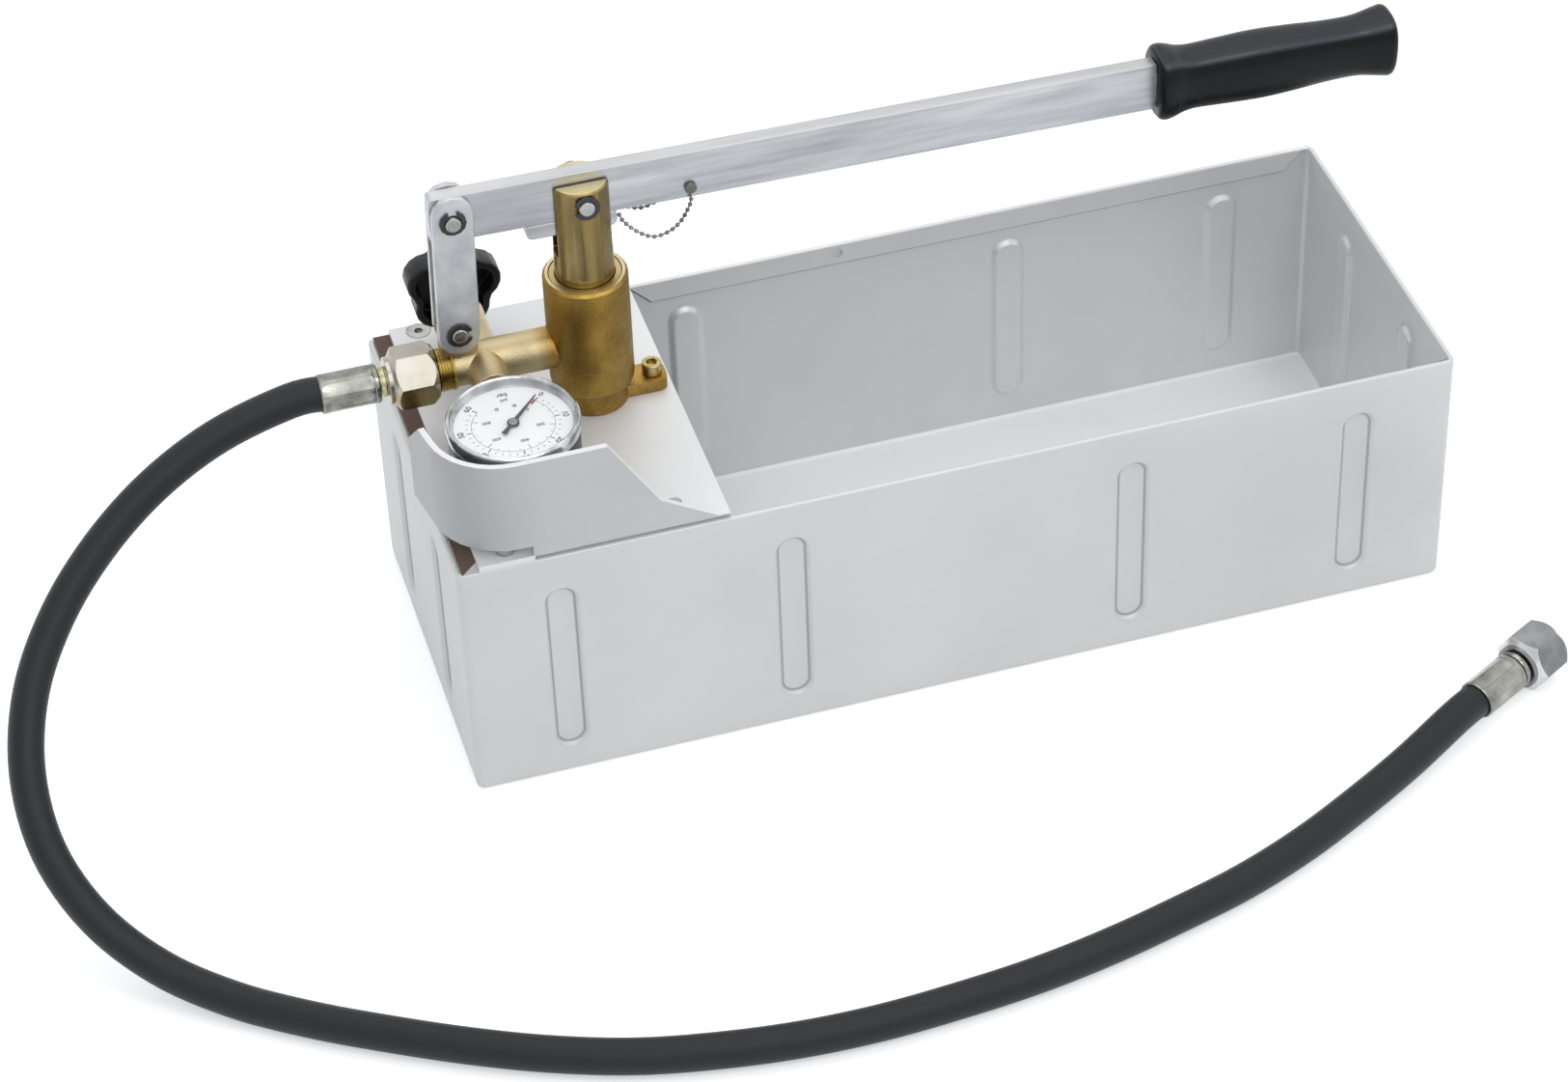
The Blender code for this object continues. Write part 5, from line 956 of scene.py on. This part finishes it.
def add_hems(shape):
    """The strips folded down inside the rim, each with its ends mitred."""
    top = TANK_HEIGHT - RIM / 2
    low = TANK_HEIGHT - HEM_DEPTH
    x_end = TANK_LENGTH / 2 - TANK_CORNER
    y_end = TANK_WIDTH / 2 - TANK_CORNER
    strips = []
    for side in (-1, 1):
        strips.append((Vector((0, side)), TANK_WIDTH / 2, DECK_RIGHT, x_end))
        strips.append((Vector((side, 0)), TANK_LENGTH / 2, -y_end, y_end))
    for outward, away, start, end in strips:
        along = Vector((abs(outward.y), abs(outward.x)))
        loops = []
        for depth, shrink in ((TANK_SHEET / 2, 0), (RIM - HEM_EDGE, 0), (RIM, HEM_EDGE)):
            upper = MITRE_SLANT * shrink
            lower = top - low + (MITRE_SLANT - 1) * shrink
            corners = (
                (start + upper, top), (end - upper, top),
                (end - lower, low + shrink), (start + lower, low + shrink),
            )
            places = [(outward * (away - depth) + along * u, height) for u, height in corners]
            loops.append([(place.x, place.y, height) for place, height in places])
        loft(shape, loops)


def hole_in_hem(shape):
    """The round hole in the back hem, nearly as deep as the folded strip."""
    x, z, radius = HEM_HOLE
    inner = TANK_WIDTH / 2 - RIM
    low = TANK_HEIGHT - HEM_DEPTH

    def on_hem(vert):
        return abs(vert.co.y - inner) < NEAR and vert.co.z > low

    front = next(face for face in shape.faces if all(on_hem(vert) for vert in face.verts))
    corners = sorted(front.verts, key=lambda vert: (-round(vert.co.z, 5), vert.co.x))
    top_left, top_right, low_left, low_right = corners
    shape.faces.remove(front)
    half = HOLE_STEPS // 2
    near, deep = (
        ring(shape, [(x + radius * c, y, z + radius * s) for c, s in circle(HOLE_STEPS)])
        for y in (inner, inner + RIM - TANK_SHEET - GAP)
    )
    shape.faces.new((top_left, top_right, *near[: half + 1]))
    shape.faces.new((low_right, low_left, *near[half:], near[0]))
    shape.faces.new((top_left, near[half], low_left))
    shape.faces.new((top_right, low_right, near[0]))
    skin(shape, (near, deep))
    shape.faces.new(deep)


def add_flanges(shape):
    """The strips round three sides of the deck's opening that carry the deck."""
    left = -TANK_LENGTH / 2 + RIM + GAP
    bare = DECK_LEFT + 0.003
    wall = TANK_WIDTH / 2 - TANK_SHEET / 2
    edge = TANK_WIDTH / 2 - FLANGE_WIDTH
    outlines = [
        ((left, -edge), (left + FLANGE_WIDTH, -edge), (left + FLANGE_WIDTH, edge), (left, edge)),
        ((left, edge), (bare, edge), (bare, wall), (left, wall)),
        ((left, -wall), (bare, -edge - 0.006), (bare, -edge), (left, -edge)),
        ((left, -wall), (bare, -wall), (bare, -edge - 0.006)),
    ]
    for outer, inner in ((-wall, -edge), (wall, edge)):
        outlines.append(((bare, outer), (DECK_RIGHT, outer), (DECK_RIGHT, inner), (bare, inner)))
    for outline in outlines:
        loft(shape, [[(x, y, z) for x, y in outline] for z in (TANK_HEIGHT - TANK_SHEET, TANK_HEIGHT)])


def refined(node, finish, edge, spin=0.0):
    """A node's own shape with its faces joined, its edges broken and its curves smoothly shaded."""
    shape = bmesh.new()
    shape.from_mesh(frame["nodes"][node].data)
    for layer in list(shape.loops.layers.uv.values()):
        shape.loops.layers.uv.remove(layer)
    bmesh.ops.remove_doubles(shape, verts=shape.verts, dist=2 * NEAR)
    bmesh.ops.dissolve_limit(shape, angle_limit=radians(0.8), verts=shape.verts, edges=shape.edges)
    for face in shape.faces:
        face.material_index = 0
    if spin:
        low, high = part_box(node)
        middle = (Vector(low) + Vector(high)) / 2
        bmesh.ops.rotate(shape, cent=middle, matrix=Matrix.Rotation(spin, 3, "Y"), verts=shape.verts)
    return stand_for(broken(new_object(f"{node}_detail", shape, finish, 32), edge, 32), node)


def lever_frame():
    return Matrix.Translation(PLUNGER_PIN) @ Matrix.Rotation(LEVER_TILT, 4, "Y")


def make_grip(finish):
    """The moulded grip: a squarish oval that waves along its length, with a collar at each end."""
    place = lever_frame() @ Matrix.Translation((GRIP_START, 0, 0))
    loops = []
    for share in smooth_line([(along, size, 0) for along, size in GRIP_PROFILE_SHARES], 5):
        tall = GRIP_HALF_HEIGHT * share.y
        wide = tall * GRIP_OVAL_SHARE
        loop = []
        for c, s in circle(48):
            swell = (abs(c) ** GRIP_SQUARENESS + abs(s) ** GRIP_SQUARENESS) ** (-1 / GRIP_SQUARENESS)
            loop.append(place @ Vector((share.x * GRIP_LENGTH, wide * swell * c, tall * swell * s)))
        loops.append(loop)
    shape = bmesh.new()
    loft(shape, loops)
    stand_in("grip", shape, finish, 50)


def string_balls(shape, route):
    """Adds balls a pitch apart along a smooth line through the points, with a wire between each two."""
    line = smooth_line(route, 12)
    runs = [0.0]
    for a, b in zip(line, line[1:]):
        runs.append(runs[-1] + (b - a).length)

    def at(distance):
        i = max(k for k in range(len(runs) - 1) if runs[k] <= distance)
        return line[i].lerp(line[i + 1], (distance - runs[i]) / (runs[i + 1] - runs[i]))

    count = round(runs[-1] / CHAIN_PITCH)
    balls = [at((i + 0.5) * runs[-1] / count) for i in range(count)]
    for ball in balls:
        bmesh.ops.create_icosphere(shape, subdivisions=2, radius=CHAIN_BALL, matrix=Matrix.Translation(ball))
    for a, b in zip(balls, balls[1:]):
        turn = (b - a).to_track_quat("Z", "Y").to_matrix().to_4x4()
        wire = ((0, 0), (CHAIN_WIRE, 0), (CHAIN_WIRE, (b - a).length), (0, (b - a).length))
        lathe(shape, wire, 8, Matrix.Translation(a) @ turn)


def make_chain(finish):
    """Steel balls on a wire, from under the stud to the lock bar's end and back up behind the lever."""
    route = []
    for run_share, sag_share in CHAIN_SHAPE_SHARES:
        point = CHAIN_START.lerp(CHAIN_END, run_share)
        point.y = CHAIN_START.y * (1 - run_share**2)
        point.z -= CHAIN_SAG * sag_share
        route.append(lever_frame() @ (point + CHAIN_FRAME))
    shape = bmesh.new()
    string_balls(shape, route)
    string_balls(shape, CHAIN_BEHIND)
    stand_in("lock_chain", shape, finish, 50)


def make_gauge(looks):
    """Case, bezel, dial with its printed scale, needle and window."""
    place = Matrix.Translation(GAUGE_CENTRE)
    on_dial = place @ Matrix.Translation((0, 0, DIAL_TOP))
    sill = BEZEL_LOW + 0.0004
    well = GAUGE_LOW + 0.003
    case = (
        (0, GAUGE_LOW), (GAUGE_CASE_RADIUS - 0.003, GAUGE_LOW),
        (GAUGE_CASE_RADIUS - 0.0008, GAUGE_LOW + 0.0009), (GAUGE_CASE_RADIUS, well),
        (GAUGE_CASE_RADIUS, sill), (DIAL_RADIUS + 0.0002, sill), (DIAL_RADIUS + 0.0002, well), (0, well),
    )
    stand_in("gauge_case", turned(case, 96, place), looks["plastic"], 40)

    bezel = (
        (0.0309, BEZEL_LOW), (0.0318, BEZEL_LOW + 0.0001), (GAUGE_RADIUS, BEZEL_LOW + 0.0007),
        (GAUGE_RADIUS, BEZEL_LOW + 0.0035), (0.0318, BEZEL_HIGH - 0.0014), (0.0311, BEZEL_HIGH - 0.0004),
        (0.0303, BEZEL_HIGH), (0.0296, BEZEL_HIGH - 0.0003), (0.0292, BEZEL_HIGH - 0.0012),
        (0.0292, DIAL_TOP + 0.0014), (0.0296, DIAL_TOP + 0.0002), (0.0309, DIAL_TOP),
    )
    extra("gauge_bezel", turned(bezel, 96, place, True), looks["bezel"], 50)

    disc = DIAL_RADIUS - GAP
    dial = ((0, DIAL_TOP - 0.0008), (disc, DIAL_TOP - 0.0008), (disc, DIAL_TOP), (0, DIAL_TOP))
    stand_in("gauge_dial", turned(dial, 96, place), looks["dial"], 40)
    make_scale(looks)

    wall = (
        (0.02915, BEZEL_HIGH - 0.0014), (0.02905, BEZEL_HIGH - 0.0016), (0.0286, DIAL_TOP + 0.0012),
        (0.0280, DIAL_TOP + 0.0002), (0.02915, DIAL_TOP + 0.0001),
    )
    extra("gauge_inner_wall", turned(wall, 96, place, True), looks["wall"], 50)

    hub = ((0, 0), (0.0010, 0), (0.0010, 0.0008), (0.0029, 0.0008), (0.0029, 0.0018), (0, 0.0018))
    shape = bmesh.new()
    turn = place @ Matrix.Rotation(NEEDLE_REST, 4, "Z")
    half = ((-0.009, 0.0013), (-0.0035, 0.0008), (0.0, 0.0010), (NEEDLE_TIP, 0.00022))
    outline = [(x, -y) for x, y in half] + [(x, y) for x, y in reversed(half)]
    loft(shape, [[turn @ Vector((x, y, DIAL_TOP + lift)) for x, y in outline] for lift in (0.0012, 0.0017)])
    lathe(shape, hub, 40, on_dial)
    stand_in("gauge_needle", shape, looks["needle"], 40, "needle_detail")

    cap = ((0, 0.0017), (0.0022, 0.0017), (0.0022, 0.0020), (0.0018, 0.0024), (0, 0.0025))
    extra("needle_cap", turned(cap, 40, on_dial), looks["cap"], 40, "needle")

    window = (
        (0, BEZEL_HIGH - 0.0024), (0.0291, BEZEL_HIGH - 0.0024), (0.0291, BEZEL_HIGH - 0.0010),
        (0.0284, BEZEL_HIGH - 0.0006), (0, BEZEL_HIGH - 0.0004),
    )
    stand_in("gauge_lens", turned(window, 96, place), looks["window"], 40, "gauge_window")


def dial_place(across, back, turn):
    """A place on the dial's print, measured from its middle, and turned."""
    spot = GAUGE_CENTRE + Vector((across, back, PRINT_TOP))
    return Matrix.Translation(spot) @ Matrix.Rotation(turn, 4, "Z")


def print_text(shape, text, size, place):
    """Adds flat lettering to the shape."""
    curve = bpy.data.curves.new("print", "FONT")
    adjusted(curve, body=text, size=size, align_x="CENTER", align_y="CENTER")
    adjusted(curve, resolution_u=4, extrude=0.00002, offset=0.00006)
    obj = in_scene("print", curve)
    mesh = worked_out(obj)
    mesh.transform(place)
    shape.from_mesh(mesh)
    bpy.data.objects.remove(obj)
    bpy.data.meshes.remove(mesh)


def print_mark(shape, inner, outer, angle, width):
    """Adds one tick of the scale."""
    turn = Matrix.Translation(GAUGE_CENTRE) @ Matrix.Rotation(angle, 4, "Z")
    corners = ((inner, -width), (outer, -width), (outer, width), (inner, width))
    loft(shape, [[turn @ Vector((x, y / 2, height)) for x, y in corners] for height in (DIAL_TOP, PRINT_TOP)])


def bar_angle(pressure):
    """The scale starts behind on the right and runs clockwise, 45 degrees for every 10 bar."""
    return radians(45 - 4.5 * pressure)


def make_scale(looks):
    """Black bar scale outside, grey psi scale inside, the red mark at zero, and the dial's two screws."""

    def printed(name, shape, look):
        extra(name, shape, looks[look], 40)

    shape = bmesh.new()
    for pressure in range(0, FULL_SCALE + 1, 2):
        main = pressure % 10 == 0
        turn = bar_angle(pressure)
        print_mark(shape, 0.0200 if main else 0.0211, 0.0226, turn, 0.0005 if main else 0.00025)
        if main:
            place = dial_place(0.0250 * cos(turn), 0.0250 * sin(turn), turn - pi / 2)
            print_text(shape, str(pressure), 0.0042, place)
    print_text(shape, "bar", 0.0040, dial_place(0, 0.0228, pi))
    printed("gauge_scale_bar", shape, "ink")

    shape = bmesh.new()
    steps = 80
    start, end = bar_angle(0), bar_angle(FULL_SCALE)
    arc = [start + (end - start) * k / steps for k in range(steps + 1)]
    rows = []
    for radius, height in ((0.0196, DIAL_TOP), (0.0196, PRINT_TOP), (0.0198, PRINT_TOP), (0.0198, DIAL_TOP)):
        points = [Vector((radius * cos(t), radius * sin(t), height)) for t in arc]
        rows.append(ring(shape, [GAUGE_CENTRE + point for point in points]))
    skin(shape, rows + rows[:1], closed=False)
    for pressure in range(0, 851, 50):
        main = pressure % 200 == 0
        turn = bar_angle(pressure * PSI)
        print_mark(shape, 0.0166 if main else 0.0182, 0.0196, turn, 0.00032 if main else 0.0002)
        if main:
            print_text(shape, str(pressure), 0.0028, dial_place(0.0128 * cos(turn), 0.0128 * sin(turn), pi))
    print_text(shape, "psi", 0.0032, dial_place(0, 0.0187, pi))
    printed("gauge_scale_psi", shape, "grey_ink")

    shape = bmesh.new()
    print_mark(shape, 0.0170, 0.0206, bar_angle(0) + 0.03, 0.0012)
    printed("gauge_zero_mark", shape, "red_ink")

    shape = bmesh.new()
    head = ((0, 0), (0.0010, 0), (0.0010, 0.0003), (0.0006, 0.0005), (0, 0.0005))
    for turn in (radians(110), radians(74)):
        spot = GAUGE_CENTRE + Vector((0.014 * cos(turn), 0.014 * sin(turn), DIAL_TOP))
        lathe(shape, head, 20, Matrix.Translation(spot))
    printed("dial_screws", shape, "chain")


def make_studio():
    """White floor and backdrop for the eye, and a plain, slightly cool fill for the object."""
    scene = bpy.context.scene
    scene.view_settings.view_transform = "Standard"
    scene.world = bpy.data.worlds.new("studio")
    sky = Nodes(scene.world)
    sky.tree.nodes.clear()
    values = {
        "Fac": sky.seen_by_eye(),
        1: sky.add("Background", {"Color": (0.93, 0.96, 1.0, 1), "Strength": 0.68}).outputs[0],
        2: sky.add("Background", {"Color": (1, 1, 1, 1), "Strength": 1.0}).outputs[0],
    }
    sky.add("OutputWorld", {"Surface": sky.add("MixShader", values).outputs[0]})

    look = Finish("studio_floor", (0.86, 0.86, 0.86), 0.9)
    look.give("Specular IOR Level", 0.0)
    look.give("Emission Color", (1, 1, 1, 1))
    look.give("Emission Strength", look.maths("MULTIPLY", look.seen_by_eye(), FLOOR_LIFT))
    shape = bmesh.new()
    corners = ((-1, -1), (1, -1), (1, 1), (-1, 1))
    shape.faces.new(ring(shape, [(FLOOR_REACH * x, FLOOR_REACH * y, 0) for x, y in corners]))
    new_object("studio_floor", shape, look.material, 35)

    for name, place, size, power in LIGHTS:
        light = in_scene(name, adjusted(bpy.data.lights.new(name, "AREA"), size=size, energy=power))
        light.location = place
        aim = Vector((-0.05, 0, 0.12)) - light.location
        light.rotation_euler = aim.to_track_quat("-Z", "Y").to_euler()


def main():
    make_camera()
    looks = make_looks()
    make_hose(looks)
    make_studio()
    for look, nodes in INSIDE:
        for node in nodes:
            materials = frame["nodes"][node].data.materials
            materials.clear()
            materials.append(looks[look])
    make_tank(looks)
    make_thread(looks["thread"])
    make_arm_skin(looks["brass"])
    pieces = {}
    for look, edge, nodes in REFINED:
        for node in nodes:
            spin = pi if node in TURNED_OVER else 0.0
            pieces[node] = refined(node, looks[look], edge, spin)
    lowest = TANK_HEIGHT + 0.002
    # The guard's upright faces take the darker copy of the deck's sheet, as painted shade.
    finish_where(pieces["deck_guard"], looks["guard"], lambda at, way: abs(way.z) < 0.5 and at.z > lowest)
    # Painted light: the upward faces over a height are paler.
    for node, look, lowest in LIT_TOPS:
        finish_where(pieces[node], looks[look], lambda at, way: way.z > 0.9 and at.z > lowest)
    make_grip(looks["grip"])
    make_chain(looks["chain"])
    make_gauge(looks)


main()
